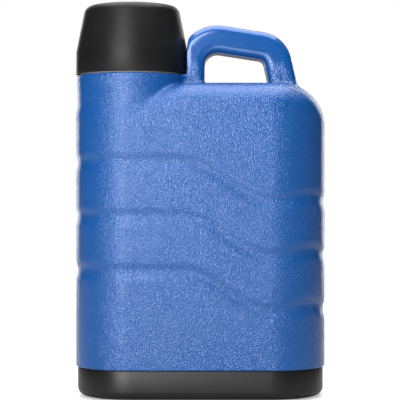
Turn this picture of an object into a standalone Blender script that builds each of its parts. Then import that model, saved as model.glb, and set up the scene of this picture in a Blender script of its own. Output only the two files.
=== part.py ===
"""Large insulated water jug: moulded shell with a looped handle, foam, liner, screw stopper and cup cap.

Metres, +Z up. The origin is on the ground under the middle of the jug. The wide front faces -Y, and the
neck with its cup stands at the -X end. In plan the body is flat in front and behind and round at both ends.
"""

import math

import bmesh
import bpy
from mathutils import Vector

# The shell's outside
BODY_WIDTH = 0.2184
SHOULDER_Z = 0.2724
SEAM_Z = 0.0261
FRONT_CROWN = 0.0008
FRONT_EDGE_RADIUS = 0.020
RIGHT_EDGE_RADIUS = 0.036
LEFT_EDGE_RADIUS = 0.015
LEAST_EDGE_RADIUS = 0.002

# The ramp that falls from the shoulder to the ledge round the neck
LEDGE_DROP = 0.0134
RAMP_LENGTH = 0.058
RAMP_FOOT_PAST_AXIS = -0.006

# The wave grooves round the shell
GROOVE_COUNT = 3
GROOVE_DEPTH = 0.0015
GROOVE_HALF_WIDTH = 0.009
WAVE_DROP = 0.0343
WAVE_LENGTH = 0.076
WAVE_START = -0.015
CORNER_RISE = 0.0065
TOP_GROOVE_BELOW_LEDGE = 0.0542
LOW_GROOVE_ABOVE_SEAM = 0.0510

# Walls, from the outside in
SHELL_WALL = 0.0025
FOAM_WALL = 0.0085
LINER_WALL = 0.0020
BASE_FOAM = 0.014
GAP = 0.0004

# The neck column of the shell, and what stands in it
COLUMN_TAPER = 0.0010
COLUMN_HEIGHT = 0.0210
COLUMN_SIDE_STEP = 0.0005
END_PAST_COLUMN = 0.0009
LEDGE_RING_WALL = 0.0030
MOUTH_RADIUS = 0.0345
COLLAR_WALL = 0.0045
COLLAR_FLANGE_WALL = 0.0025
COLLAR_FLANGE_STEP = 0.0002
COLLAR_HEIGHT = 0.0245
GASKET_WALL = 0.0012
THREAD_DEPTH = 0.0012
THREAD_PITCH = 0.0060
THREAD_CLEARANCE = 0.0004
THREAD_TURNS = 2
LIP_WALL = 0.0025
LIP_HEIGHT = 0.0017

# The stopper
STOPPER_DEPTH = 0.0400
STOPPER_WALL = 0.0022
STOPPER_FLANGE_WALL = 0.0024
STOPPER_FLANGE_REACH = 0.0032
STOPPER_THREAD_DEPTH = 0.0012
SEAL_WALL = 0.0015
GRIP_LENGTH = 0.058
GRIP_THICKNESS = 0.012
GRIP_HEIGHT = 0.0085

# The cup that screws over the neck
CUP_OVER_COLUMN = 0.0005
CUP_SKIRT_DRAFT = 0.0002
CUP_TAPER = 0.0067
CUP_SKIRT_BELOW_LIP = 0.0033
CUP_HEADROOM = 0.0104
CUP_TOP_ROUND = 0.0075
CUP_RIM_ABOVE_COLUMN = 0.0012
CUP_WALL = 0.0025
CUP_LINING_WALL = 0.0020
CUP_AIR_GAP = 0.0016
CUP_SEAL_WALL = 0.0014

# The handle, from the neck side to the far side
HANDLE_DEPTH = 0.035
HANDLE_THICKNESS = 0.0240
HANDLE_WALL = 0.0028
HANDLE_RISE = 0.0433
HANDLE_FALL = 0.0115
HANDLE_LEG_PAST_CUP = 0.0014
HANDLE_LEG_FROM_END = 0.0357
HANDLE_LEAN = 0.0085
HANDLE_NEAR_BEND = 0.023
HANDLE_FAR_BEND = 0.017
HANDLE_FOOT_BEND = 0.040
HANDLE_FOOT_BELOW_SHOULDER = 0.0062
HANDLE_SQUARENESS = 2.6
CUP_CLEARANCE = 0.0015

# The base and its feet
BASE_INSET = 0.0016
BASE_EDGE_RADIUS = 0.0075
BASE_WALL = 0.0022
BASE_FLOOR = 0.0028
BASE_SPIGOT_HEIGHT = 0.0085
FOOT_STAND = 0.0010
FOOT_RADIUS = 0.0090
FOOT_SINK = 0.0012
FOOT_FROM_EDGE = 0.030

# How finely the shapes are divided
END_STEPS = 8
FRONT_STEPS = 4
EDGE_STEPS = 4
ROUND_STEPS = 36
FOOT_STEPS = 20
HANDLE_SECTION_STEPS = 16
BEND_STEPS = 6
LONGEST_HANDLE_STEP = 0.016
OVERRUN = 0.006
WELD_DISTANCE = 0.000002

# Heights and places that follow
LEDGE_Z = SHOULDER_Z - LEDGE_DROP
COLUMN_TOP_Z = LEDGE_Z + COLUMN_HEIGHT
SHELL_BOTTOM_Z = SEAM_Z + GAP / 2
LINER_OUTSIDE = SHELL_WALL + FOAM_WALL + 2 * GAP
LINER_INSIDE = LINER_OUTSIDE + LINER_WALL
SPIGOT_TOP_Z = SEAM_Z + BASE_SPIGOT_HEIGHT
BASE_FLOOR_Z = FOOT_STAND + BASE_FLOOR
FOAM_PAD_TOP_Z = BASE_FLOOR_Z + GAP + BASE_FOAM
LINER_BOTTOM_Z = FOAM_PAD_TOP_Z + GAP
LINER_NECK_RADIUS = MOUTH_RADIUS + LINER_WALL
COLLAR_BORE = LINER_NECK_RADIUS + GAP
COLLAR_RADIUS = COLLAR_BORE + COLLAR_WALL
COLLAR_CREST = COLLAR_RADIUS + THREAD_DEPTH
CUP_THREAD_CREST = COLLAR_CREST + THREAD_CLEARANCE
CUP_THREAD_ROOT = CUP_THREAD_CREST + THREAD_DEPTH
CUP_LINING_RADIUS = CUP_THREAD_ROOT + CUP_LINING_WALL
CUP_RIM_RADIUS = CUP_LINING_RADIUS + GAP + CUP_WALL
CUP_CREASE_RADIUS = CUP_RIM_RADIUS - CUP_SKIRT_DRAFT
CUP_TOP_RADIUS = CUP_CREASE_RADIUS - CUP_TAPER
CUP_SPACE_RADIUS = CUP_RIM_RADIUS + CUP_CLEARANCE
COLUMN_RADIUS = CUP_RIM_RADIUS - CUP_OVER_COLUMN
BODY_DEPTH = 2 * (COLUMN_RADIUS + END_PAST_COLUMN + FRONT_CROWN)
NECK_X = COLUMN_RADIUS + COLUMN_SIDE_STEP - BODY_WIDTH / 2
NECK_HOLE_RADIUS = COLLAR_BORE + COLLAR_WALL / 2 + GAP
COLUMN_BORE = COLUMN_RADIUS - COLUMN_TAPER - SHELL_WALL
GASKET_Z = COLUMN_TOP_Z + GAP
COLLAR_FLANGE_Z = GASKET_Z + GASKET_WALL + GAP
COLLAR_FLANGE_TOP_Z = COLLAR_FLANGE_Z + COLLAR_FLANGE_WALL
COLLAR_FLANGE_RADIUS = CUP_LINING_RADIUS - COLLAR_FLANGE_STEP
COLLAR_TOP_Z = COLUMN_TOP_Z + COLLAR_HEIGHT
COLLAR_BOTTOM_Z = COLUMN_TOP_Z - LEDGE_RING_WALL - 0.0045
LIP_Z = COLLAR_TOP_Z + GAP
LIP_FLANGE_TOP_Z = LIP_Z + LIP_WALL
LIP_TOP_Z = LIP_FLANGE_TOP_Z + LIP_HEIGHT
SEAL_Z = LIP_TOP_Z + GAP
STOPPER_FLANGE_Z = SEAL_Z + SEAL_WALL + GAP
STOPPER_FLANGE_TOP_Z = STOPPER_FLANGE_Z + STOPPER_FLANGE_WALL
STOPPER_FLANGE_RADIUS = MOUTH_RADIUS + STOPPER_FLANGE_REACH
STOPPER_CREST = MOUTH_RADIUS - GAP
STOPPER_RADIUS = STOPPER_CREST - STOPPER_THREAD_DEPTH
STOPPER_BORE = STOPPER_RADIUS - STOPPER_WALL
STOPPER_BOTTOM_Z = STOPPER_FLANGE_Z - STOPPER_DEPTH
STOPPER_LID_Z = STOPPER_FLANGE_TOP_Z + GAP
STOPPER_LID_TOP_Z = STOPPER_LID_Z + STOPPER_WALL
CUP_RIM_Z = COLUMN_TOP_Z + CUP_RIM_ABOVE_COLUMN
CUP_CREASE_Z = COLLAR_TOP_Z - CUP_SKIRT_BELOW_LIP
CUP_INSIDE = CUP_WALL + CUP_AIR_GAP + CUP_LINING_WALL
CUP_TOP_Z = STOPPER_LID_TOP_Z + GRIP_HEIGHT + CUP_HEADROOM + CUP_INSIDE
CUP_SEAL_Z = COLLAR_FLANGE_TOP_Z + GAP
CUP_LINING_Z = CUP_SEAL_Z + CUP_SEAL_WALL + GAP


def plastic(name, colour, roughness, metallic=0.0):
    """A plain surface of one colour, for one kind of piece."""
    material = bpy.data.materials.new(name)
    material.use_nodes = True
    shader = material.node_tree.nodes["Principled BSDF"]
    shader.inputs["Base Color"].default_value = (*colour, 1.0)
    shader.inputs["Roughness"].default_value = roughness
    shader.inputs["Metallic"].default_value = metallic
    material.diffuse_color = (*colour, 1.0)
    return material


def clear_scene():
    for old in list(bpy.data.objects):
        bpy.data.objects.remove(old, do_unlink=True)


def axis_empty(name, parent=None):
    """An empty on the neck's axis, for the pieces that turn and lift about it."""
    empty = bpy.data.objects.new(name, None)
    bpy.context.collection.objects.link(empty)
    if parent:
        empty.parent = parent
    else:
        empty.location.x = NECK_X
    return empty


def mesh_object(name, bm, material=None, parent=None):
    """Closes a bmesh into a named object with its faces turned outwards."""
    bmesh.ops.recalc_face_normals(bm, faces=bm.faces)
    mesh = bpy.data.meshes.new(name)
    bm.to_mesh(mesh)
    bm.free()
    obj = bpy.data.objects.new(name, mesh)
    bpy.context.collection.objects.link(obj)
    obj.parent = parent
    if material:
        mesh.materials.append(material)
    mesh.shade_smooth()
    mesh.set_sharp_from_angle(angle=math.radians(32))
    return obj


def as_tool(obj):
    """Marks an object as a cutter or a joined shape, which is no piece of its own."""
    obj.hide_render = True
    obj.display_type = "WIRE"
    return obj


def boolean(obj, tool, operation):
    modifier = obj.modifiers.new(f"{operation.lower()}_{tool.name}", "BOOLEAN")
    modifier.operation = operation
    modifier.solver = "EXACT"
    modifier.object = as_tool(tool)
    weld = obj.modifiers.new(f"weld_{tool.name}", "WELD")
    weld.merge_threshold = WELD_DISTANCE


def cut(obj, *tools):
    for tool in tools:
        boolean(obj, tool, "DIFFERENCE")


def join(obj, *tools):
    for tool in tools:
        boolean(obj, tool, "UNION")


def loft(rings, closed_top=True):
    """Skins rings of points. The first ring is closed with one face, and so is the last if closed_top."""
    bm = bmesh.new()
    loops = [[bm.verts.new(point) for point in ring] for ring in rings]
    count = len(loops[0])
    for low, high in zip(loops, loops[1:]):
        for i in range(count):
            j = (i + 1) % count
            bm.faces.new((low[i], low[j], high[j], high[i]))
    bm.faces.new(loops[0])
    if closed_top:
        bm.faces.new(loops[-1])
    return bm, loops


def turned(name, profile, material=None, parent=None, x=0.0, y=0.0, steps=ROUND_STEPS):
    """Turns an outline of (radius, height) points about a vertical axis, where it may start and end."""
    bm = bmesh.new()
    verts = [bm.verts.new((radius, 0, height)) for radius, height in profile]
    edges = [bm.edges.new(pair) for pair in zip(verts, verts[1:])]
    if profile[0][0] > 0:
        edges.append(bm.edges.new((verts[-1], verts[0])))
    bmesh.ops.spin(
        bm, geom=verts + edges, cent=(0, 0, 0), axis=(0, 0, 1), angle=math.tau, steps=steps
    )
    bmesh.ops.remove_doubles(bm, verts=bm.verts, dist=1e-6)
    on_axis = [edge for edge in bm.edges if not edge.link_faces]
    bmesh.ops.delete(bm, geom=on_axis, context="EDGES")
    obj = mesh_object(name, bm, material, parent)
    obj.location = (x, y, 0)
    return obj


def disc(name, radius, low_z, high_z, x=0.0, y=0.0, steps=ROUND_STEPS):
    return turned(name, [(0, low_z), (radius, low_z), (radius, high_z), (0, high_z)], x=x, y=y, steps=steps)


def ring_outline(inner, outer, low_z, high_z):
    return [(inner, low_z), (outer, low_z), (outer, high_z), (inner, high_z)]


def arc(centre_r, centre_z, radius, start, end, steps):
    """Points round an arc in a turned outline. Angles are in degrees from outwards, upwards."""
    points = []
    for i in range(steps + 1):
        angle = math.radians(start + (end - start) * i / steps)
        points.append((centre_r + radius * math.cos(angle), centre_z + radius * math.sin(angle)))
    return points


def smooth_step(value):
    value = min(max(value, 0.0), 1.0)
    return value * value * (3 - 2 * value)


def plan_points(inset):
    """The body's plan, moved in by inset: (x, y, normal x, normal y) anticlockwise from the right end."""
    end_radius = BODY_DEPTH / 2 - FRONT_CROWN
    half_x = BODY_WIDTH / 2
    flat_x = half_x - end_radius
    radius = end_radius - inset
    quarter = []
    for i in range(END_STEPS + 1):
        angle = math.pi / 2 * i / END_STEPS
        nx, ny = math.cos(angle), math.sin(angle)
        quarter.append((flat_x + radius * nx, radius * ny, nx, ny))
    for i in range(1, FRONT_STEPS + 1):
        quarter.append((flat_x * (1 - i / FRONT_STEPS), radius, 0.0, 1.0))
    back = quarter + [(-x, y, -nx, ny) for x, y, nx, ny in reversed(quarter[:-1])]
    front = [(x, -y, nx, -ny) for x, y, nx, ny in reversed(back[1:-1])]
    plan = []
    for x, y, nx, ny in back + front:
        crown = FRONT_CROWN * (1 - (x / half_x) ** 2)
        plan.append((x, y + crown * y / end_radius, nx, ny))
    return plan


def top_height(x):
    """Height of the shell's top at x: the ledge round the neck, the ramp, then the shoulder."""
    foot = NECK_X + RAMP_FOOT_PAST_AXIS
    return LEDGE_Z + LEDGE_DROP * smooth_step((x - foot) / RAMP_LENGTH)


def edge_radii(nx, inset):
    """Radii of the top edge, at this end of the body and along its front and back."""
    end_radius = RIGHT_EDGE_RADIUS if nx > 0 else LEFT_EDGE_RADIUS
    return [max(radius - inset, LEAST_EDGE_RADIUS) for radius in (end_radius, FRONT_EDGE_RADIUS)]


def wave_height(x, nx, ny):
    """How far a groove lies above its height at the neck end."""
    fall = WAVE_DROP * smooth_step((x - WAVE_START) / WAVE_LENGTH)
    rise = CORNER_RISE * 4 * nx * nx * ny * ny if x > 0 else 0.0
    return rise - fall


def groove_levels():
    """(height at the neck end, share of the wave, depth) of each ring that shapes the grooves, going up."""
    low = SEAM_Z + LOW_GROOVE_ABOVE_SEAM + WAVE_DROP
    high = LEDGE_Z - TOP_GROOVE_BELOW_LEDGE
    levels = [((SHELL_BOTTOM_Z + low - GROOVE_HALF_WIDTH) / 2, 0.5, 0.0)]
    for groove in range(GROOVE_COUNT):
        middle = low + (high - low) * groove / (GROOVE_COUNT - 1)
        for share in (-1.0, -0.5, 0.0, 0.5, 1.0):
            depth = GROOVE_DEPTH * (1 - abs(share))
            levels.append((middle + share * GROOVE_HALF_WIDTH, 1.0, depth))
    return levels


def body_form(name, inset, bottom_z, grooved=False, material=None, bottom_radius=0.0):
    """The closed shape of the body moved in by inset, from bottom_z up to the ramped top."""
    plan = plan_points(inset)
    rings = []
    if bottom_radius:
        for step in range(3):
            turn = math.pi / 2 * step / 3
            move = bottom_radius * (1 - math.sin(turn))
            z = bottom_z + bottom_radius * (1 - math.cos(turn))
            rings.append([(x - nx * move, y - ny * move, z) for x, y, nx, ny in plan])
    rings.append([(x, y, bottom_z + bottom_radius) for x, y, nx, ny in plan])
    if grooved:
        for height, share, depth in groove_levels():
            rings.append([
                (x - nx * depth, y - ny * depth, height + share * wave_height(x, nx, ny))
                for x, y, nx, ny in plan
            ])
    for step in range(EDGE_STEPS + 1):
        turn = math.pi / 2 * step / EDGE_STEPS
        ring = []
        for x, y, nx, ny in plan:
            end_radius, side_radius = edge_radii(nx, inset)
            radius = side_radius + (end_radius - side_radius) * nx * nx
            px = x - nx * end_radius * (1 - math.cos(turn))
            py = y - ny * side_radius * (1 - math.cos(turn))
            ring.append((px, py, top_height(px) - inset - radius * (1 - math.sin(turn))))
        rings.append(ring)
    bm, loops = loft(rings, closed_top=False)
    last = loops[-1]
    count = len(last)
    half = count // 2
    bm.faces.new((last[0], last[1], last[count - 1]))
    for i in range(1, half - 1):
        bm.faces.new((last[i], last[i + 1], last[count - i - 1], last[count - i]))
    bm.faces.new((last[half - 1], last[half], last[half + 1]))
    return mesh_object(name, bm, material)


def plan_loft(name, stations, material=None):
    """A closed shape skinned over copies of the body's plan, each at (inset, height)."""
    rings = [[(x, y, z) for x, y, nx, ny in plan_points(inset)] for inset, z in stations]
    return mesh_object(name, loft(rings)[0], material)


def add_straight(points, end, longest):
    """Carries a path on to end in a straight line, in steps no longer than longest."""
    start = points[-1]
    steps = max(1, math.ceil((end - start).length / longest))
    for step in range(1, steps + 1):
        points.append(start.lerp(end, step / steps))


def rounded_path(corners, bends, longest):
    """A path through corners (x, z), with each inner corner rounded to its bend radius."""
    points = [Vector(corners[0])]
    for before, corner, after, radius in zip(corners, corners[1:], corners[2:], bends):
        corner = Vector(corner)
        back = (Vector(before) - corner).normalized()
        ahead = (Vector(after) - corner).normalized()
        half_angle = back.angle(ahead) / 2
        centre = corner + (back + ahead).normalized() * radius / math.sin(half_angle)
        start = corner + back * radius / math.tan(half_angle) - centre
        end = corner + ahead * radius / math.tan(half_angle) - centre
        add_straight(points, centre + start, longest)
        for step in range(1, BEND_STEPS + 1):
            points.append(centre + start.slerp(end, step / BEND_STEPS) * radius)
    add_straight(points, Vector(corners[-1]), longest)
    return points


def handle_path():
    near_x = NECK_X + CUP_SPACE_RADIUS + HANDLE_LEG_PAST_CUP
    far_x = BODY_WIDTH / 2 - HANDLE_LEG_FROM_END
    top_z = SHOULDER_Z + HANDLE_RISE
    foot_z = SHOULDER_Z - FRONT_EDGE_RADIUS
    corners = [
        (near_x, foot_z),
        (near_x, top_z),
        (far_x - HANDLE_LEAN, top_z - HANDLE_FALL),
        (far_x, SHOULDER_Z - HANDLE_FOOT_BELOW_SHOULDER),
        (far_x, foot_z),
    ]
    bends = [HANDLE_NEAR_BEND, HANDLE_FAR_BEND, HANDLE_FOOT_BEND]
    return rounded_path(corners, bends, LONGEST_HANDLE_STEP)


def handle_solid(name, wall=0.0):
    """The handle's tube, swept along its path; with a wall, the hollow that far inside it."""
    path = handle_path()
    half_deep = HANDLE_DEPTH / 2 - wall
    half_thick = HANDLE_THICKNESS / 2 - wall
    rings = []
    for i, point in enumerate(path):
        ahead = path[min(i + 1, len(path) - 1)] - path[max(i - 1, 0)]
        across = Vector((-ahead.y, ahead.x)).normalized()
        ring = []
        for step in range(HANDLE_SECTION_STEPS):
            angle = math.tau * step / HANDLE_SECTION_STEPS
            c, s = math.cos(angle), math.sin(angle)
            u = math.copysign(abs(c) ** (2 / HANDLE_SQUARENESS), c) * half_thick
            v = math.copysign(abs(s) ** (2 / HANDLE_SQUARENESS), s) * half_deep
            ring.append((point.x + across.x * u, v, point.y + across.y * u))
        rings.append(ring)
    return mesh_object(name, loft(rings)[0])


def outer_shell(material):
    """The shell: body, neck column and hollow handle in one moulding, open below and at the neck."""
    shell = body_form("outer_shell", 0.0, SHELL_BOTTOM_Z, grooved=True, material=material)
    column_bottom_z = LEDGE_Z - LEFT_EDGE_RADIUS - OVERRUN
    column = turned("column_shape", [
        (0, column_bottom_z),
        (COLUMN_RADIUS - COLUMN_TAPER, column_bottom_z),
        (COLUMN_RADIUS - COLUMN_TAPER, LEDGE_Z),
        (COLUMN_RADIUS, COLUMN_TOP_Z - 0.001),
        (COLUMN_RADIUS - 0.001, COLUMN_TOP_Z),
        (0, COLUMN_TOP_Z),
    ], x=NECK_X)
    join(shell, column, handle_solid("handle_shape"))
    handle_top_z = SHOULDER_Z + HANDLE_RISE + HANDLE_THICKNESS
    cut(shell, disc("cup_space", CUP_SPACE_RADIUS, COLUMN_TOP_Z, handle_top_z, x=NECK_X))
    hollow = body_form("shell_hollow", SHELL_WALL, SHELL_BOTTOM_Z - OVERRUN)
    bore_top_z = COLUMN_TOP_Z - LEDGE_RING_WALL
    bore = disc("column_bore", COLUMN_BORE, column_bottom_z - OVERRUN, bore_top_z, x=NECK_X)
    mouth = disc("neck_hole", NECK_HOLE_RADIUS, bore_top_z - OVERRUN, COLUMN_TOP_Z + OVERRUN, x=NECK_X)
    grip_hollow = handle_solid("handle_hollow", wall=HANDLE_WALL)
    wall_radius = CUP_SPACE_RADIUS + HANDLE_WALL
    cut(grip_hollow, disc("handle_neck_wall", wall_radius, bore_top_z, handle_top_z, x=NECK_X))
    cut(shell, hollow, bore, mouth, grip_hollow)
    return shell


def insulation(material):
    """Two foam halves that close round the liner, and the tray of foam that its foot stands in."""
    for name, side in (("insulation_front", -1), ("insulation_back", 1)):
        foam = body_form(name, SHELL_WALL + GAP, SPIGOT_TOP_Z + GAP, material=material)
        collar_foot_z = COLLAR_BOTTOM_Z - GAP
        neck_foot_z = LEDGE_Z - LEFT_EDGE_RADIUS - OVERRUN
        neck = disc(f"{name}_neck", COLUMN_BORE - GAP, neck_foot_z, collar_foot_z, x=NECK_X)
        join(foam, neck)
        space = body_form(f"{name}_space", LINER_OUTSIDE - GAP, LINER_BOTTOM_Z - OVERRUN)
        bore_z = LEDGE_Z - LINER_OUTSIDE - OVERRUN
        neck_bore = disc(f"{name}_bore", LINER_NECK_RADIUS + GAP, bore_z, COLUMN_TOP_Z, x=NECK_X)
        bm = bmesh.new()
        bmesh.ops.create_cube(bm, size=1.0)
        size = (BODY_WIDTH * 1.2, BODY_DEPTH, COLUMN_TOP_Z * 1.2)
        bmesh.ops.scale(bm, vec=size, verts=bm.verts)
        other_half = mesh_object(f"{name}_other_half", bm)
        other_half.location = (0, -side * (BODY_DEPTH / 2 - GAP / 2), COLUMN_TOP_Z / 2)
        cut(foam, space, neck_bore, other_half)
    tray_outside = SHELL_WALL + 2 * GAP + BASE_WALL
    tray_inside = LINER_OUTSIDE - GAP
    plan_loft("insulation_base_tray", [
        (tray_outside, BASE_FLOOR_Z + GAP),
        (tray_outside, SPIGOT_TOP_Z),
        (tray_inside, SPIGOT_TOP_Z),
        (tray_inside, FOAM_PAD_TOP_Z),
    ], material)


def inner_liner(material):
    """The tank: a thin wall all round, closed below, with its neck standing up through the column."""
    bottom_radius = 0.012
    liner = body_form(
        "inner_liner", LINER_OUTSIDE, LINER_BOTTOM_Z, material=material, bottom_radius=bottom_radius
    )
    neck_foot_z = LEDGE_Z - LINER_OUTSIDE - OVERRUN
    join(liner, disc("liner_neck", LINER_NECK_RADIUS, neck_foot_z, COLLAR_TOP_Z, x=NECK_X))
    tank = body_form(
        "liner_space", LINER_INSIDE, LINER_BOTTOM_Z + LINER_WALL, bottom_radius=bottom_radius - LINER_WALL
    )
    mouth = disc("liner_mouth", MOUTH_RADIUS, neck_foot_z - OVERRUN, COLLAR_TOP_Z + OVERRUN, x=NECK_X)
    cut(liner, tank, mouth)


def thread_points(root, crest, first_z, turns):
    """The raised rings that stand for a screw thread, as points of a turned outline."""
    points = []
    for turn in range(turns):
        z = first_z + turn * THREAD_PITCH
        points += [(root, z), (crest, z + 0.0010), (crest, z + 0.0020), (root, z + 0.0030)]
    return points


def neck_pieces(black, rubber, lip_material):
    """What closes the gap between the shell's column and the liner's neck, and carries the cup's thread."""
    turned("neck_gasket", ring_outline(
        NECK_HOLE_RADIUS + GAP, COLLAR_FLANGE_RADIUS - GAP, GASKET_Z, GASKET_Z + GASKET_WALL
    ), rubber, x=NECK_X)
    spigot = NECK_HOLE_RADIUS - GAP
    turned("neck_collar", [
        (COLLAR_BORE, COLLAR_BOTTOM_Z),
        (spigot, COLLAR_BOTTOM_Z),
        (spigot, COLLAR_FLANGE_Z),
        (COLLAR_FLANGE_RADIUS, COLLAR_FLANGE_Z),
        (COLLAR_FLANGE_RADIUS, COLLAR_FLANGE_TOP_Z),
        (COLLAR_RADIUS, COLLAR_FLANGE_TOP_Z),
        *thread_points(COLLAR_RADIUS, COLLAR_CREST, CUP_LINING_Z + 0.002, THREAD_TURNS),
        (COLLAR_RADIUS, COLLAR_TOP_Z - 0.001),
        (COLLAR_RADIUS - 0.001, COLLAR_TOP_Z),
        (COLLAR_BORE, COLLAR_TOP_Z),
    ], black, x=NECK_X)
    turned("pour_lip", [
        (MOUTH_RADIUS, LIP_Z),
        (COLLAR_RADIUS, LIP_Z),
        (COLLAR_RADIUS, LIP_FLANGE_TOP_Z - 0.001),
        (COLLAR_RADIUS - 0.001, LIP_FLANGE_TOP_Z),
        (MOUTH_RADIUS + 0.0024, LIP_FLANGE_TOP_Z),
        (MOUTH_RADIUS + 0.0018, LIP_TOP_Z),
        (MOUTH_RADIUS + 0.0004, LIP_TOP_Z),
        (MOUTH_RADIUS, LIP_TOP_Z - 0.0004),
    ], lip_material, x=NECK_X)


def stopper(axis, black, foam, rubber):
    """The insulated plug that screws into the mouth: body, foam core, lid with a grip, and seal."""
    turned("stopper_seal", ring_outline(
        MOUTH_RADIUS, STOPPER_FLANGE_RADIUS - 0.0005, SEAL_Z, SEAL_Z + SEAL_WALL
    ), rubber, axis)
    turned("stopper_body", [
        (0, STOPPER_BOTTOM_Z),
        (STOPPER_RADIUS - 0.003, STOPPER_BOTTOM_Z),
        (STOPPER_RADIUS, STOPPER_BOTTOM_Z + 0.003),
        *thread_points(STOPPER_RADIUS, STOPPER_CREST, STOPPER_BOTTOM_Z + 0.012, THREAD_TURNS),
        (STOPPER_RADIUS, STOPPER_FLANGE_Z),
        (STOPPER_FLANGE_RADIUS, STOPPER_FLANGE_Z),
        (STOPPER_FLANGE_RADIUS, STOPPER_FLANGE_TOP_Z),
        (STOPPER_BORE, STOPPER_FLANGE_TOP_Z),
        (STOPPER_BORE, STOPPER_BOTTOM_Z + STOPPER_WALL),
        (0, STOPPER_BOTTOM_Z + STOPPER_WALL),
    ], black, axis)
    spigot_z = STOPPER_FLANGE_TOP_Z - 0.005
    core_z = STOPPER_BOTTOM_Z + STOPPER_WALL + GAP
    core_radius = STOPPER_BORE - GAP
    turned("stopper_core", [
        (0, core_z), (core_radius, core_z), (core_radius, spigot_z - GAP), (0, spigot_z - GAP),
    ], foam, axis)
    lid = turned("stopper_lid", [
        (0, spigot_z),
        (core_radius, spigot_z),
        (core_radius, STOPPER_LID_Z),
        (STOPPER_FLANGE_RADIUS, STOPPER_LID_Z),
        (STOPPER_FLANGE_RADIUS, STOPPER_LID_TOP_Z - 0.0008),
        (STOPPER_FLANGE_RADIUS - 0.0008, STOPPER_LID_TOP_Z),
        (0, STOPPER_LID_TOP_Z),
    ], black, axis)
    bm = bmesh.new()
    bmesh.ops.create_cube(bm, size=1.0)
    grip_size = (GRIP_LENGTH, GRIP_THICKNESS, GRIP_HEIGHT + STOPPER_WALL)
    bmesh.ops.scale(bm, vec=grip_size, verts=bm.verts)
    bmesh.ops.bevel(bm, geom=bm.edges, offset=0.002, segments=2, profile=0.5, affect="EDGES")
    grip = mesh_object("stopper_grip", bm, parent=axis)
    grip.location.z = STOPPER_LID_TOP_Z + (GRIP_HEIGHT - STOPPER_WALL) / 2
    join(lid, grip)


def cup(axis, black, lining_material, rubber):
    """The cup that screws down over the neck: outer wall, threaded lining, and the seal below it."""
    slope = (CUP_CREASE_RADIUS - CUP_TOP_RADIUS) / (CUP_TOP_Z - CUP_TOP_ROUND - CUP_CREASE_Z)
    lean = math.degrees(math.atan(slope))

    def wall_radius(z, inset):
        return CUP_CREASE_RADIUS - slope * (z - CUP_CREASE_Z) - inset

    def crown(inset, steps=4):
        """The rounded top edge of a wall that lies inset from the cup's outside, up to the axis."""
        radius = max(CUP_TOP_ROUND - inset, 0.002)
        top_z = CUP_TOP_Z - inset
        centre_z = top_z - radius
        centre_r = wall_radius(centre_z, inset) - radius
        return arc(centre_r, centre_z, radius, lean, 90, steps) + [(0, top_z)]

    rim_inside = CUP_RIM_RADIUS - CUP_WALL
    turned("cup_outer", [
        (rim_inside, CUP_RIM_Z),
        (CUP_RIM_RADIUS - 0.0005, CUP_RIM_Z),
        (CUP_RIM_RADIUS, CUP_RIM_Z + 0.0005),
        (CUP_CREASE_RADIUS, CUP_CREASE_Z),
        *crown(0.0),
        *reversed(crown(CUP_WALL)),
        (wall_radius(CUP_CREASE_Z, CUP_WALL), CUP_CREASE_Z),
    ], black, axis)
    outside = CUP_WALL + CUP_AIR_GAP
    thread_z = CUP_LINING_Z + 0.002 + THREAD_PITCH / 2
    turned("cup_lining", [
        (CUP_THREAD_ROOT, CUP_LINING_Z),
        (CUP_LINING_RADIUS, CUP_LINING_Z),
        (CUP_LINING_RADIUS - 0.0004, CUP_CREASE_Z - 0.002),
        (wall_radius(CUP_CREASE_Z + 0.006, outside), CUP_CREASE_Z + 0.006),
        *crown(outside),
        *reversed(crown(CUP_INSIDE)),
        (wall_radius(LIP_TOP_Z, CUP_INSIDE), LIP_TOP_Z),
        *reversed(thread_points(CUP_THREAD_ROOT, CUP_THREAD_CREST, thread_z, THREAD_TURNS)),
    ], lining_material, axis)
    turned("cup_seal", ring_outline(
        COLLAR_CREST + 0.0003, CUP_LINING_RADIUS, CUP_SEAL_Z, CUP_SEAL_Z + CUP_SEAL_WALL
    ), rubber, axis)


def foot_places():
    for x_side in (-1, 1):
        for y_side in (-1, 1):
            x = x_side * (BODY_WIDTH / 2 - FOOT_FROM_EDGE)
            y = y_side * (BODY_DEPTH / 2 - FOOT_FROM_EDGE)
            yield x, y


def base(black, rubber):
    """The base cover, whose spigot fits up inside the shell, and the feet let into its floor."""
    spigot = SHELL_WALL + GAP
    floor_z = FOOT_STAND
    stations = []
    for step in range(EDGE_STEPS):
        turn = math.pi / 2 * step / EDGE_STEPS
        inset = BASE_INSET + BASE_EDGE_RADIUS * (1 - math.sin(turn))
        stations.append((inset, floor_z + BASE_EDGE_RADIUS * (1 - math.cos(turn))))
    top_z = SEAM_Z - GAP / 2
    stations += [
        (BASE_INSET, floor_z + BASE_EDGE_RADIUS),
        (BASE_INSET, top_z),
        (spigot, top_z),
        (spigot, SPIGOT_TOP_Z),
        (spigot + BASE_WALL, SPIGOT_TOP_Z),
        (spigot + BASE_WALL, BASE_FLOOR_Z),
    ]
    cover = plan_loft("base_cover", stations, black)
    names = ("foot_left_front", "foot_left_back", "foot_right_front", "foot_right_back")
    for name, (x, y) in zip(names, foot_places()):
        foot_top_z = FOOT_STAND + FOOT_SINK
        pocket = disc(f"{name}_pocket", FOOT_RADIUS + GAP, 0, foot_top_z + GAP, x=x, y=y, steps=FOOT_STEPS)
        cut(cover, pocket)
        turned(name, [
            (0, 0),
            (FOOT_RADIUS - 0.0008, 0),
            (FOOT_RADIUS, 0.0008),
            (FOOT_RADIUS, foot_top_z),
            (0, foot_top_z),
        ], rubber, x=x, y=y, steps=FOOT_STEPS)


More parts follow.
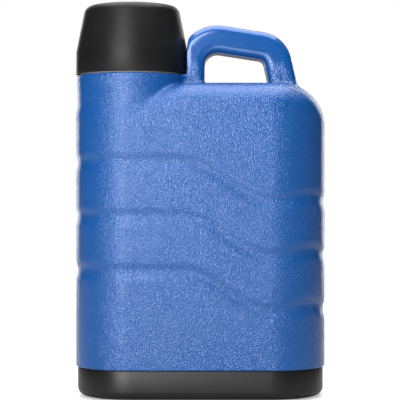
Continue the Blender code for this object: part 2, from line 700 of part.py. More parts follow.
def build_jug():
    blue = plastic("blue_shell_plastic", (0.035, 0.155, 0.445), 0.55)
    black = plastic("black_plastic", (0.018, 0.018, 0.019), 0.42)
    white = plastic("liner_plastic", (0.80, 0.81, 0.80), 0.35)
    foam = plastic("insulating_foam", (0.86, 0.82, 0.68), 0.95)
    rubber = plastic("seal_rubber", (0.30, 0.31, 0.32), 0.60)
    foot_rubber = plastic("foot_rubber", (0.03, 0.03, 0.03), 0.85)
    outer_shell(blue)
    insulation(foam)
    inner_liner(white)
    neck_pieces(black, rubber, white)
    stopper_axis = axis_empty("stopper_axis")
    stopper(stopper_axis, black, foam, rubber)
    cup(axis_empty("cup_axis", stopper_axis), black, white, rubber)
    base(black, foot_rubber)


clear_scene()
build_jug()
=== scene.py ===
# %% [markdown]
# # A large insulated water jug
#
# The jug has a blow-moulded blue shell with a carrying handle, a dark cup that screws over its neck, a
# screw stopper under the cup, and a dark base on rubber feet. Each step below makes one piece or one
# finish, says what it is on the real jug, and why it is made this way in Blender.
#
# All sizes are metres, +Z is up, the wide front faces -Y, and the neck stands at the -X end.

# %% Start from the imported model
import math

import bmesh
import bpy
import numpy as np
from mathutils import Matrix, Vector


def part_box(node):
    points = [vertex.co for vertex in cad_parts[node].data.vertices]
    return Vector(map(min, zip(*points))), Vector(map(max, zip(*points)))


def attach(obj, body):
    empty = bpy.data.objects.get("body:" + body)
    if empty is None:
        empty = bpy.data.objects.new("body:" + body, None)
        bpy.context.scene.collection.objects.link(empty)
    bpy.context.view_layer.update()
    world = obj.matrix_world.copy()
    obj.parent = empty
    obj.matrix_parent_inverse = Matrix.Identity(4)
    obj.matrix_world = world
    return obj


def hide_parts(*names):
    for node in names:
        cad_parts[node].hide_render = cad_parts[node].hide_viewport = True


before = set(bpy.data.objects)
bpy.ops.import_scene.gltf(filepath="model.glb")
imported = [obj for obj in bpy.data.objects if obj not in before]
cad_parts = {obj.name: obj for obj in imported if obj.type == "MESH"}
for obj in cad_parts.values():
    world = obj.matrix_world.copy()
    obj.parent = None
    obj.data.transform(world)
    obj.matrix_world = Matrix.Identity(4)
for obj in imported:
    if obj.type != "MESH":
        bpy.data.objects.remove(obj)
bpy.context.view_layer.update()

# %% [markdown]
# ## Sizes
#
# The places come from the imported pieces, so that every new piece sits exactly where the working model
# has it. What a box can't tell, such as a wall or a rounding, is a named value in metres.

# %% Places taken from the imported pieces
shell_low, shell_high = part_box("outer_shell")
cup_low, cup_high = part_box("cup_outer")
lining_low, lining_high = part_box("cup_lining")
cup_seal_low, cup_seal_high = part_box("cup_seal")
collar_low, collar_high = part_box("neck_collar")
gasket_low, gasket_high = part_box("neck_gasket")
lip_low, lip_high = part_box("pour_lip")
stopper_low, stopper_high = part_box("stopper_body")
lid_low, lid_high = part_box("stopper_lid")
stopper_seal_low, stopper_seal_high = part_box("stopper_seal")
base_low, base_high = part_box("base_cover")
foot_low, foot_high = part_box("foot_right_front")

GAP = 0.0004
HALF_WIDTH = (shell_high.x - shell_low.x) / 2
HALF_DEPTH = (shell_high.y - shell_low.y) / 2
NECK_X = (collar_low.x + collar_high.x) / 2
SHELL_BOTTOM_Z = shell_low.z
COLUMN_TOP_Z = gasket_low.z - GAP
print(f"shell {2000 * HALF_WIDTH:.1f} mm wide, neck axis at x = {1000 * NECK_X:.1f} mm")

# %% The shell's own sizes
FRONT_CROWN = 0.0008
END_RADIUS = HALF_DEPTH - FRONT_CROWN
END_CENTRE_X = HALF_WIDTH - END_RADIUS
SHOULDER_Z = 0.2724
LEDGE_Z = 0.2590
RAMP_START_X = NECK_X - 0.006
RAMP_LENGTH = 0.058
SIDE_EDGE_RADIUS = 0.020
RIGHT_EDGE_RADIUS = 0.036
LEFT_EDGE_RADIUS = 0.015
BOTTOM_EDGE_RADIUS = 0.0012
SHELL_WALL = 0.0025

# %% The neck column, the cup's room and the handle
NOTCH_Z = 0.2505
COLUMN_FOOT_RADIUS = 0.0476
COLUMN_TOP_RADIUS = 0.0486
COLUMN_EDGE_RADIUS = 0.0010
COLUMN_WALL_TOP = 0.0030
COLUMN_BORE = 0.0451
NECK_HOLE_RADIUS = 0.03955
CUP_SPACE_RADIUS = 0.0506
HANDLE_HALF_THICK = 0.0120
HANDLE_HALF_DEEP = 0.0175
HANDLE_EDGE_RADIUS = 0.0065
HANDLE_WALL = 0.0028
HANDLE_NEAR_X = NECK_X + CUP_SPACE_RADIUS + 0.0014
HANDLE_FAR_X = HALF_WIDTH - 0.0357
HANDLE_LEAN = 0.0085
HANDLE_TOP_Z = SHOULDER_Z + 0.0433
HANDLE_FALL = 0.0115

# %% The wave grooves
GROOVE_HEIGHTS = (0.1114, 0.1581, 0.2048)
GROOVE_DEPTH = 0.0016
FRONT_GROOVE_SHARE = 0.90
GROOVE_ABOVE = 0.0080
GROOVE_BELOW = 0.0105
WAVE_DROP = 0.0343
WAVE_START_X = -0.015
WAVE_LENGTH = 0.076
CORNER_RISE = 0.0050

# %% [markdown]
# ## Small helpers
#
# Four helpers serve every finish: one turns an sRGB hex colour into the linear values that shaders use,
# one adds a node with its settings and links, one opens a new material and one blends two colours. The
# rest make meshes: any closed shape, a turned shape, and a Boolean baked into a plain mesh.

# %% Colour and nodes
def linear(hex_colour):
    """Turns an sRGB colour such as "4060a0" into linear red, green and blue."""
    values = []
    for start in (0, 2, 4):
        v = int(hex_colour[start:start + 2], 16) / 255
        values.append(v / 12.92 if v <= 0.04045 else ((v + 0.055) / 1.055) ** 2.4)
    return (*values, 1.0)


def add_node(tree, kind, inputs=None, **settings):
    """Adds a node. An input is given by name or number, as a value or as the output to link to it."""
    node = tree.nodes.new(kind)
    for name, value in settings.items():
        setattr(node, name, value)
    for socket, value in (inputs or {}).items():
        if isinstance(value, bpy.types.NodeSocket):
            tree.links.new(value, node.inputs[socket])
        else:
            node.inputs[socket].default_value = value
    return node


def new_material(name, roughness, ior):
    """A material with its Principled shader, and the object's own coordinates for patterns."""
    material = bpy.data.materials.new(name)
    material.use_nodes = True
    tree = material.node_tree
    shader = tree.nodes["Principled BSDF"]
    shader.inputs["Roughness"].default_value = roughness
    shader.inputs["IOR"].default_value = ior
    place = add_node(tree, "ShaderNodeTexCoord").outputs["Object"]
    return material, tree, shader, place


def mix_colours(tree, factor, dark, light):
    """A colour between two hex colours, by a factor from 0 to 1."""
    mix = add_node(tree, "ShaderNodeMix", {0: factor, 6: linear(dark), 7: linear(light)}, data_type="RGBA")
    return mix.outputs[2]


# %% Meshes
SHARP_ANGLE = math.radians(40)
SLIVER = 0.000001


def mesh_piece(name, bm, material):
    """Closes a bmesh into an object at the origin, faces outwards, smooth but for its sharp edges."""
    bmesh.ops.recalc_face_normals(bm, faces=bm.faces)
    mesh = bpy.data.meshes.new(name)
    bm.to_mesh(mesh)
    bm.free()
    mesh.shade_smooth()
    mesh.set_sharp_from_angle(angle=SHARP_ANGLE)
    mesh.materials.append(material)
    obj = bpy.data.objects.new(name, mesh)
    bpy.context.scene.collection.objects.link(obj)
    return obj


def turned(name, profile, material, x=0.0, y=0.0, steps=128):
    """Turns an outline of (radius, height) points about the vertical line at x, y."""
    bm = bmesh.new()
    around = [(math.cos(math.tau * i / steps), math.sin(math.tau * i / steps)) for i in range(steps)]
    rings = []
    for radius, height in profile:
        if radius < SLIVER:
            rings.append([bm.verts.new((x, y, height))] * steps)
            continue
        rings.append([bm.verts.new((x + radius * c, y + radius * s, height)) for c, s in around])
    pairs = list(zip(rings, rings[1:]))
    if profile[0][0] > SLIVER:
        pairs.append((rings[-1], rings[0]))
    for low, high in pairs:
        for i in range(steps):
            j = (i + 1) % steps
            corners = list(dict.fromkeys((low[i], low[j], high[j], high[i])))
            if len(corners) > 2:
                bm.faces.new(corners)
    return mesh_piece(name, bm, material)


def corner_arc(centre_r, centre_z, radius, start, end, steps=5):
    """Points round an arc of a turned outline. Angles are in degrees, from outwards towards up."""
    points = []
    for i in range(steps + 1):
        angle = math.radians(start + (end - start) * i / steps)
        points.append((centre_r + radius * math.cos(angle), centre_z + radius * math.sin(angle)))
    return points


def rounded_ring(inner, outer, low_z, high_z, radius):
    """The outline of a ring with all four edges rounded."""
    return [
        *corner_arc(inner + radius, low_z + radius, radius, 180, 270, 3),
        *corner_arc(outer - radius, low_z + radius, radius, -90, 0, 3),
        *corner_arc(outer - radius, high_z - radius, radius, 0, 90, 3),
        *corner_arc(inner + radius, high_z - radius, radius, 90, 180, 3),
    ]


def solve(obj, tool, operation):
    """Adds a closed mesh to obj or cuts it away, and bakes the result, cleared of slivers, into obj."""
    modifier = obj.modifiers.new("solid", "BOOLEAN")
    modifier.operation = operation
    modifier.solver = "MANIFOLD"
    modifier.object = tool
    bpy.context.view_layer.update()
    mesh = bpy.data.meshes.new_from_object(obj.evaluated_get(bpy.context.evaluated_depsgraph_get()))
    obj.modifiers.clear()
    bm = bmesh.new()
    bm.from_mesh(mesh)
    bmesh.ops.dissolve_degenerate(bm, dist=SLIVER, edges=bm.edges)
    bm.to_mesh(mesh)
    bm.free()
    obj.data = mesh
    mesh.shade_smooth()
    mesh.set_sharp_from_angle(angle=SHARP_ANGLE)
    bpy.data.objects.remove(tool)


# %% [markdown]
# ## The shell's shape as a rule
#
# The shell is blow moulded: a soft tube of plastic is blown out against a mould, so every edge is
# rounded and every piece of it flows into the next. Sculpting that by hand from patches is slow, and a
# chain of Booleans leaves creases where the handle and the neck meet the body. Here the surface is a
# rule instead. One function says how far any point in space lies outside the shell, negative within it.
# Rounded joins are then one line each, and a mesh is drawn where the function is zero.

# %% Joining distances
def smooth_step(t):
    t = np.clip(t, 0.0, 1.0)
    return t * t * (3 - 2 * t)


def rounded_corner(a, b, radius):
    """The distance to where two half spaces meet, with the corner between them rounded."""
    over_a = np.maximum(a + radius, 0)
    over_b = np.maximum(b + radius, 0)
    return np.minimum(np.maximum(a + radius, b + radius), 0) + np.hypot(over_a, over_b) - radius


def soft_join(a, b, size):
    """Two shapes joined with a fillet of about that size."""
    near = np.maximum(size - np.abs(a - b), 0) / size
    return np.minimum(a, b) - near * near * size / 4


def soft_cut(a, b, size):
    """The first shape less the second, with the edge between them eased."""
    return -soft_join(-a, b, size)


# %% The body: plan, ramped top and wave grooves
def plan_distance(x, y):
    """Distance outside the plan, and how far the wall there faces an end: -1 left, 0 front, 1 right."""
    crown = FRONT_CROWN * np.clip(1 - (x / HALF_WIDTH) ** 2, 0, 1)
    beyond = np.maximum(np.abs(x) - END_CENTRE_X, 0)
    across = np.abs(y) * END_RADIUS / (END_RADIUS + crown)
    reach = np.hypot(beyond, across)
    facing = np.sign(x) * beyond / np.maximum(reach, 1e-6)
    return reach - END_RADIUS, facing


def top_height(x):
    """The shoulder's height, which ramps down to the neck."""
    return LEDGE_Z + (SHOULDER_Z - LEDGE_Z) * smooth_step((x - RAMP_START_X) / RAMP_LENGTH)


def groove_depth(x, z, facing):
    """How deep the wave grooves are at a point of the wall."""
    fall = WAVE_DROP * smooth_step((x - WAVE_START_X) / WAVE_LENGTH)
    corner = np.where(x > 0, 4 * facing ** 2 * (1 - facing ** 2), 0.0)
    level = z - CORNER_RISE * corner + fall
    depth = np.zeros(np.broadcast(x, z, facing).shape)
    for height in GROOVE_HEIGHTS:
        above = level - height
        share = np.where(above > 0, above / GROOVE_ABOVE, -above / GROOVE_BELOW)
        depth += smooth_step(1 - share) * GROOVE_DEPTH
    return depth * (FRONT_GROOVE_SHARE + (1 - FRONT_GROOVE_SHARE) * facing ** 2)


def body_distance(x, y, z, inset=0.0, grooved=True):
    """Distance outside the body, without its neck and handle."""
    outside, facing = plan_distance(x, y)
    end_radius = np.where(facing > 0, RIGHT_EDGE_RADIUS, LEFT_EDGE_RADIUS)
    edge = SIDE_EDGE_RADIUS + (end_radius - SIDE_EDGE_RADIUS) * facing ** 2
    step = 0.001
    slope = (top_height(x + step) - top_height(x - step)) / (2 * step)
    above = (z - top_height(x)) / np.sqrt(1 + slope ** 2)
    if grooved:
        outside = outside + groove_depth(x, z, facing)
    return rounded_corner(outside, above, edge) + inset


# %% [markdown]
# ## The handle's path
#
# The handle is a tube with a nearly square section, swept along a path that leaves the shoulder beside
# the cup, turns over the hand and comes down with a slight lean. The path is five corners, each with
# its bend radius, so that moving one corner moves the handle and its hollow together.

# %% The path as a chain of short steps
def rounded_path(corners, bends, steps=14):
    points = [np.array(corners[0])]
    for before, corner, after, radius in zip(corners, corners[1:], corners[2:], bends):
        before, corner, after = np.array(before), np.array(corner), np.array(after)
        back = (before - corner) / np.linalg.norm(before - corner)
        ahead = (after - corner) / np.linalg.norm(after - corner)
        half_angle = math.acos(np.clip(back @ ahead, -1, 1)) / 2
        middle = (back + ahead) / np.linalg.norm(back + ahead)
        centre = corner + middle * radius / math.sin(half_angle)
        start = corner + back * radius / math.tan(half_angle) - centre
        end = corner + ahead * radius / math.tan(half_angle) - centre
        turn = math.acos(np.clip(start @ end / radius ** 2, -1, 1))
        for step in range(steps + 1):
            t = step / steps
            mixed = math.sin((1 - t) * turn) * start + math.sin(t * turn) * end
            points.append(centre + mixed / math.sin(turn))
    points.append(np.array(corners[-1]))
    return np.array(points)


HANDLE_PATH = rounded_path(
    [
        (HANDLE_NEAR_X, SHOULDER_Z - 0.020),
        (HANDLE_NEAR_X, HANDLE_TOP_Z),
        (HANDLE_FAR_X - HANDLE_LEAN, HANDLE_TOP_Z - HANDLE_FALL),
        (HANDLE_FAR_X, SHOULDER_Z - 0.0062),
        (HANDLE_FAR_X, SHOULDER_Z - 0.020),
    ],
    [0.023, 0.017, 0.040],
)
print(f"handle path of {len(HANDLE_PATH)} points")


# %% Distances to the handle, the neck column and the cup's room
def handle_distance(x, y, z, wall=0.0):
    """Distance outside the handle's tube, from the nearest place on its path."""
    nearest = np.full(np.broadcast(x, z).shape, 1e9)
    for start, end in zip(HANDLE_PATH, HANDLE_PATH[1:]):
        along = end - start
        px, pz = x - start[0], z - start[1]
        t = np.clip((px * along[0] + pz * along[1]) / (along @ along), 0, 1)
        away = np.hypot(px - t * along[0], pz - t * along[1])
        nearest = np.minimum(nearest, away)
    edge = HANDLE_EDGE_RADIUS - wall
    over = nearest - (HANDLE_HALF_THICK - wall - edge)
    deep = np.abs(y) - (HANDLE_HALF_DEEP - wall - edge)
    return np.minimum(np.maximum(over, deep), 0) + np.hypot(np.maximum(over, 0), np.maximum(deep, 0)) - edge


def column_distance(x, y, z):
    """Distance outside the neck's column, which stands on the ramp's foot."""
    rise = (z - NOTCH_Z) / (COLUMN_TOP_Z - NOTCH_Z)
    radius = COLUMN_FOOT_RADIUS + (COLUMN_TOP_RADIUS - COLUMN_FOOT_RADIUS) * np.clip(rise, 0, 1)
    side = np.hypot(x - NECK_X, y) - radius
    column = rounded_corner(side, z - COLUMN_TOP_Z, COLUMN_EDGE_RADIUS)
    return np.maximum(column, NOTCH_Z - 0.008 - z)


def cup_room_distance(x, y, z):
    """Distance outside the room that the cup needs to screw down."""
    return np.maximum(np.hypot(x - NECK_X, y) - CUP_SPACE_RADIUS, COLUMN_TOP_Z + 0.0002 - z)


def shell_distance(x, y, z):
    """Distance outside the whole shell, as if it were solid."""
    handle = soft_cut(handle_distance(x, y, z), cup_room_distance(x, y, z), 0.0030)
    body = soft_join(body_distance(x, y, z), column_distance(x, y, z), 0.0030)
    whole = soft_join(body, handle, 0.0045)
    return rounded_corner(whole, SHELL_BOTTOM_Z - z, BOTTOM_EDGE_RADIUS)


def hollow_distance(x, y, z):
    """Distance outside the room within the shell's wall, which is open below."""
    grip = handle_distance(x, y, z, HANDLE_WALL)
    grip = np.maximum(grip, CUP_SPACE_RADIUS + HANDLE_WALL - np.hypot(x - NECK_X, y))
    inner = soft_join(body_distance(x, y, z, SHELL_WALL, grooved=False), grip, 0.002)
    return np.maximum(inner, SHELL_BOTTOM_Z - 0.008 - z)


# %% [markdown]
# ## From the rule to a mesh
#
# Surface nets is a short way to draw such a surface. Space is cut into small cells, each cell that the
# surface passes through gets one vertex, and neighbouring cells are joined by a quad. The vertices are
# then slid along the rule's slope until they lie on it, so that the mesh is far smoother than its cells.

# %% Surface nets
def surface_net(name, rule, xs, ys, zs, material, slides=5):
    """Meshes the zero surface of a distance rule over a grid of planes, as one closed object."""
    values = rule(xs[:, None, None], ys[None, :, None], zs[None, None, :])
    inside = values < 0
    cells = [slice(0, -1), slice(1, None)]
    corners = [(i, j, k) for i in (0, 1) for j in (0, 1) for k in (0, 1)]
    count = sum(inside[cells[i], cells[j], cells[k]].astype(np.int8) for i, j, k in corners)
    active = (count > 0) & (count < 8)
    number = np.full(active.shape, -1)
    number[active] = np.arange(active.sum())
    ci, cj, ck = np.nonzero(active)
    total = np.zeros((len(ci), 3))
    hits = np.zeros(len(ci))
    for a in corners:
        for b in corners:
            if b <= a or sum(abs(p - q) for p, q in zip(a, b)) != 1:
                continue
            va = values[ci + a[0], cj + a[1], ck + a[2]]
            vb = values[ci + b[0], cj + b[1], ck + b[2]]
            crossed = (va < 0) != (vb < 0)
            t = np.where(crossed, va / np.where(crossed, va - vb, 1), 0)
            for axis, (marks, cell) in enumerate(zip((xs, ys, zs), (ci, cj, ck))):
                pa, pb = marks[cell + a[axis]], marks[cell + b[axis]]
                total[:, axis] += np.where(crossed, pa + t * (pb - pa), 0)
            hits += crossed
    points = total / hits[:, None]
    quads = []
    for axis in range(3):
        u, v = (axis + 1) % 3, (axis + 2) % 3
        low = [slice(1, -1)] * 3
        high = [slice(1, -1)] * 3
        low[axis], high[axis] = slice(0, -1), slice(1, None)
        first, second = inside[tuple(low)], inside[tuple(high)]
        for turned_round, where in ((False, first & ~second), (True, second & ~first)):
            place = np.array(np.nonzero(where))
            for other in (u, v):
                place[other] += 1
            ring = []
            for du, dv in ((-1, -1), (0, -1), (0, 0), (-1, 0)):
                cell = place.copy()
                cell[u] += du
                cell[v] += dv
                ring.append(number[tuple(cell)])
            quad = np.stack(ring, axis=1)
            quads.append(quad[:, ::-1] if turned_round else quad)
    quads = np.concatenate(quads)
    step = 0.00002
    longest = 0.4 * min(np.diff(xs).min(), np.diff(ys).min(), np.diff(zs).min())
    for _ in range(slides):
        x, y, z = points.T
        here = rule(x, y, z)
        slope = np.stack([
            rule(x + step, y, z) - rule(x - step, y, z),
            rule(x, y + step, z) - rule(x, y - step, z),
            rule(x, y, z + step) - rule(x, y, z - step),
        ], axis=1) / (2 * step)
        move = slope * (here / np.maximum((slope ** 2).sum(1), 0.1))[:, None]
        length = np.maximum(np.linalg.norm(move, axis=1), 1e-12)
        points = points - move * np.minimum(1, longest / length)[:, None]
    mesh = bpy.data.meshes.new(name)
    mesh.from_pydata(points.tolist(), [], quads.tolist())
    mesh.shade_smooth()
    mesh.materials.append(material)
    obj = bpy.data.objects.new(name, mesh)
    bpy.context.scene.collection.objects.link(obj)
    print(f"{name}: {len(points)} vertices, {2 * len(quads)} triangles")
    return obj


def planes(low, high, step, finer=()):
    """Grid planes from low to high, with (from, to, step) stretches that are drawn finer."""
    marks = set(np.round(np.arange(low, high + step, step), 7))
    for start, end, fine in finer:
        marks = {m for m in marks if not start - step * 0.5 < m < end + step * 0.5}
        marks |= set(np.round(np.arange(start, end + fine / 2, fine), 7))
    return np.array(sorted(marks))


# %% [markdown]
# ## Blue polyethylene
#
# The shell is high-density polyethylene, coloured right through and blown into a mould whose face is
# etched with a worm-like grain. The grain breaks the light up: where a lamp is mirrored the surface
# glitters, and elsewhere it looks smooth. It is made from noise, whose cells of 1 mm give small winding
# hills about 2 mm apart. They are drawn 0.27 mm high, about twice the real etching, so that they show.
#
# Polyethylene is slightly waxy and lets some light under its skin. A small metallic share stands for
# that: it lets the pigment colour the highlight. The hills' tops are rubbed smoother than the valleys,
# and the handle's mould face is nearly plain, so the grain fades out above the shoulder.

# %% Grained blue polyethylene
GRAIN_PERIOD = 0.00100
GRAIN_HEIGHT = 0.00027


def blue_polyethylene():
    """Blue blow-moulded polyethylene with an etched grain that fades out on the handle."""
    material, tree, shader, place = new_material("hdpe_blue_grained", 0.40, 1.54)
    shader.inputs["Specular IOR Level"].default_value = 0.46
    shader.inputs["Metallic"].default_value = 0.10
    tone = add_node(tree, "ShaderNodeTexNoise", {"Vector": place, "Scale": 14.0, "Detail": 3.0})
    colour = mix_colours(tree, tone.outputs["Fac"], "0c4380", "104988")
    tree.links.new(colour, shader.inputs["Base Color"])
    hills = add_node(
        tree, "ShaderNodeTexNoise",
        {"Vector": place, "Scale": 1 / GRAIN_PERIOD, "Detail": 0.0, "Roughness": 0.45, "Distortion": 0.4},
    )
    steep = add_node(
        tree, "ShaderNodeMapRange",
        {"Value": hills.outputs["Fac"], "From Min": 0.25, "From Max": 0.75},
    )
    height = add_node(tree, "ShaderNodeSeparateXYZ", {0: place}).outputs["Z"]
    smooth_handle = add_node(
        tree, "ShaderNodeMapRange",
        {"Value": height, "From Min": SHOULDER_Z + 0.010, "From Max": SHOULDER_Z + 0.022,
         "To Min": 1.0, "To Max": 0.05},
    )
    bump = add_node(
        tree, "ShaderNodeBump",
        {"Height": steep.outputs["Result"], "Distance": GRAIN_HEIGHT,
         "Strength": smooth_handle.outputs["Result"]},
    )
    tree.links.new(bump.outputs["Normal"], shader.inputs["Normal"])
    rough = add_node(
        tree, "ShaderNodeMapRange",
        {"Value": steep.outputs["Result"], "To Min": 0.15, "To Max": 0.10},
    )
    satin = add_node(
        tree, "ShaderNodeMapRange",
        {"Value": smooth_handle.outputs["Result"], "To Min": 0.05, "To Max": 0.0},
    )
    gloss = add_node(tree, "ShaderNodeMath", {0: rough.outputs["Result"], 1: satin.outputs["Result"]})
    tree.links.new(gloss.outputs[0], shader.inputs["Roughness"])
    return material


blue_shell_plastic = blue_polyethylene()

# %% [markdown]
# ## The shell
#
# The grid is 1.9 mm, with finer planes at the thin bottom edge and at the column's top, where the
# roundings are only about a millimetre. The room inside is a second, coarser net that is cut out of the
# first. Its wall is never seen, but it keeps the liner and the foam in a real hollow.

# %% Shell skin with its hollow
GRID = 0.0019
HOLLOW_GRID = 0.0037
margin = 0.004
shell = surface_net(
    "shell_skin", shell_distance,
    planes(-HALF_WIDTH - margin, HALF_WIDTH + margin, GRID),
    planes(-HALF_DEPTH - margin, HALF_DEPTH + margin, GRID),
    planes(SHELL_BOTTOM_Z - margin, HANDLE_TOP_Z + HANDLE_HALF_THICK + margin, GRID, [
        (SHELL_BOTTOM_Z - 0.0005, SHELL_BOTTOM_Z + 0.0025, 0.0005),
        (COLUMN_TOP_Z - 0.002, COLUMN_TOP_Z + 0.001, 0.0006),
    ]),
    blue_shell_plastic,
)
hollow = surface_net(
    "shell_room", hollow_distance,
    planes(-HALF_WIDTH - margin, HALF_WIDTH + margin, HOLLOW_GRID),
    planes(-HALF_DEPTH - margin, HALF_DEPTH + margin, HOLLOW_GRID),
    planes(SHELL_BOTTOM_Z - 0.016, HANDLE_TOP_Z + HANDLE_HALF_THICK + margin, HOLLOW_GRID),
    blue_shell_plastic,
)
bore_top_z = COLUMN_TOP_Z - COLUMN_WALL_TOP
bore = turned("neck_bore", [
    (0, NOTCH_Z - 0.014),
    (COLUMN_BORE, NOTCH_Z - 0.014),
    (COLUMN_BORE, bore_top_z),
    (NECK_HOLE_RADIUS, bore_top_z),
    (NECK_HOLE_RADIUS, COLUMN_TOP_Z + 0.006),
    (0, COLUMN_TOP_Z + 0.006),
], blue_shell_plastic, x=NECK_X)
solve(shell, hollow, "DIFFERENCE")
solve(shell, bore, "DIFFERENCE")
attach(shell, "jug")
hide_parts("outer_shell")
print("shell skin:", len(shell.data.polygons), "faces")

# %% [markdown]
# ## Satin black polypropylene
#
# The cup is injection moulded in black polypropylene. The mould face is lightly spark eroded, so the
# surface has a very fine, even grain and a soft, broad highlight. The real grain is about 0.1 mm, far
# too fine to draw, so it is drawn at 0.7 mm and kept shallow.

# %% Satin black polypropylene
FINE_GRAIN = 0.0007


def moulded_plastic(name, dark, light, roughness, grain, height, ior=1.49, specular=0.5):
    """Injection-moulded plastic: fine spark-eroded grain, and slow changes of tone and gloss."""
    material, tree, shader, place = new_material(name, roughness, ior)
    shader.inputs["Specular IOR Level"].default_value = specular
    cloud = add_node(tree, "ShaderNodeTexNoise", {"Vector": place, "Scale": 22.0, "Detail": 4.0})
    colour = mix_colours(tree, cloud.outputs["Fac"], dark, light)
    tree.links.new(colour, shader.inputs["Base Color"])
    gloss = add_node(
        tree, "ShaderNodeMapRange",
        {"Value": cloud.outputs["Fac"], "From Min": 0.3, "From Max": 0.7,
         "To Min": roughness - 0.03, "To Max": roughness + 0.03},
    )
    tree.links.new(gloss.outputs["Result"], shader.inputs["Roughness"])
    sparks = add_node(tree, "ShaderNodeTexNoise", {"Vector": place, "Scale": 1 / grain, "Detail": 2.0})
    bump = add_node(tree, "ShaderNodeBump", {"Height": sparks.outputs["Fac"], "Distance": height})
    tree.links.new(bump.outputs["Normal"], shader.inputs["Normal"])
    return material


cup_plastic = moulded_plastic(
    "polypropylene_black_satin", "0e0e0f", "141415", 0.40, FINE_GRAIN, 0.00003, specular=0.17,
)

# %% [markdown]
# ## The cup
#
# The cap of this jug is its drinking cup, turned over and screwed down on the neck. It is a plain
# turned shape: a short upright skirt, a slight crease, a long taper and a rounded rim round a flat top
# with a shallow dish in it. An outline turned about the neck's axis is the shortest exact way to make it.

# %% The cup's outer wall
CUP_WALL = 0.0025
CUP_RIM_RADIUS = (cup_high.x - cup_low.x) / 2
CUP_CREASE_RADIUS = CUP_RIM_RADIUS - 0.0002
CUP_TAPER = 0.0067
CUP_ROUND = 0.0075
CUP_RIM_Z, CUP_TOP_Z = cup_low.z, cup_high.z
CUP_CREASE_Z = collar_high.z - 0.0033
cup_slope = CUP_TAPER / (CUP_TOP_Z - CUP_ROUND - CUP_CREASE_Z)
cup_lean = math.degrees(math.atan(cup_slope))


def cup_radius(z, inset=0.0):
    """Radius of the cup's tapered wall at a height."""
    return CUP_CREASE_RADIUS - cup_slope * (z - CUP_CREASE_Z) - inset


def cup_crown(inset, steps=10):
    """The rounded edge of the cup's top, from its side to where the flat top starts."""
    radius = max(CUP_ROUND - inset, 0.002)
    centre_z = CUP_TOP_Z - inset - radius
    centre_r = cup_radius(centre_z, inset) - radius
    return corner_arc(centre_r, centre_z, radius, cup_lean, 90, steps)


DISH_RADIUS = 0.0300
DISH_DEPTH = 0.0006
cup = turned("cup_shell", [
    (CUP_RIM_RADIUS - CUP_WALL, CUP_RIM_Z + 0.0004),
    (CUP_RIM_RADIUS - CUP_WALL + 0.0004, CUP_RIM_Z),
    (CUP_RIM_RADIUS - 0.0006, CUP_RIM_Z),
    (CUP_RIM_RADIUS - 0.0002, CUP_RIM_Z + 0.0002),
    (CUP_RIM_RADIUS, CUP_RIM_Z + 0.0006),
    (CUP_CREASE_RADIUS, CUP_CREASE_Z - 0.0006),
    (CUP_CREASE_RADIUS - 0.0001, CUP_CREASE_Z + 0.0004),
    *cup_crown(0.0),
    (DISH_RADIUS + 0.002, CUP_TOP_Z),
    (DISH_RADIUS + 0.001, CUP_TOP_Z - 0.0001),
    (DISH_RADIUS, CUP_TOP_Z - DISH_DEPTH),
    (0, CUP_TOP_Z - DISH_DEPTH),
    (0, CUP_TOP_Z - CUP_WALL),
    *reversed(cup_crown(CUP_WALL)),
    (cup_radius(CUP_CREASE_Z, CUP_WALL), CUP_CREASE_Z),
], cup_plastic, x=NECK_X, steps=160)
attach(cup, "cup")
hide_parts("cup_outer")
print(f"cup {2000 * CUP_RIM_RADIUS:.1f} mm across its rim, {1000 * (CUP_TOP_Z - CUP_RIM_Z):.1f} mm high")

# %% [markdown]
# ## Screw threads
#
# Three pieces carry a thread: the collar outside, the cup's lining inside, and the stopper outside. A
# thread is a small section that follows a rising spiral, which is what Geometry Nodes do well. One tree
# makes all three from named sizes. The section shrinks to nothing over the first and last part of a
# turn, as a moulded thread runs out. The spiral is then joined to its wall, so that each stays one solid.

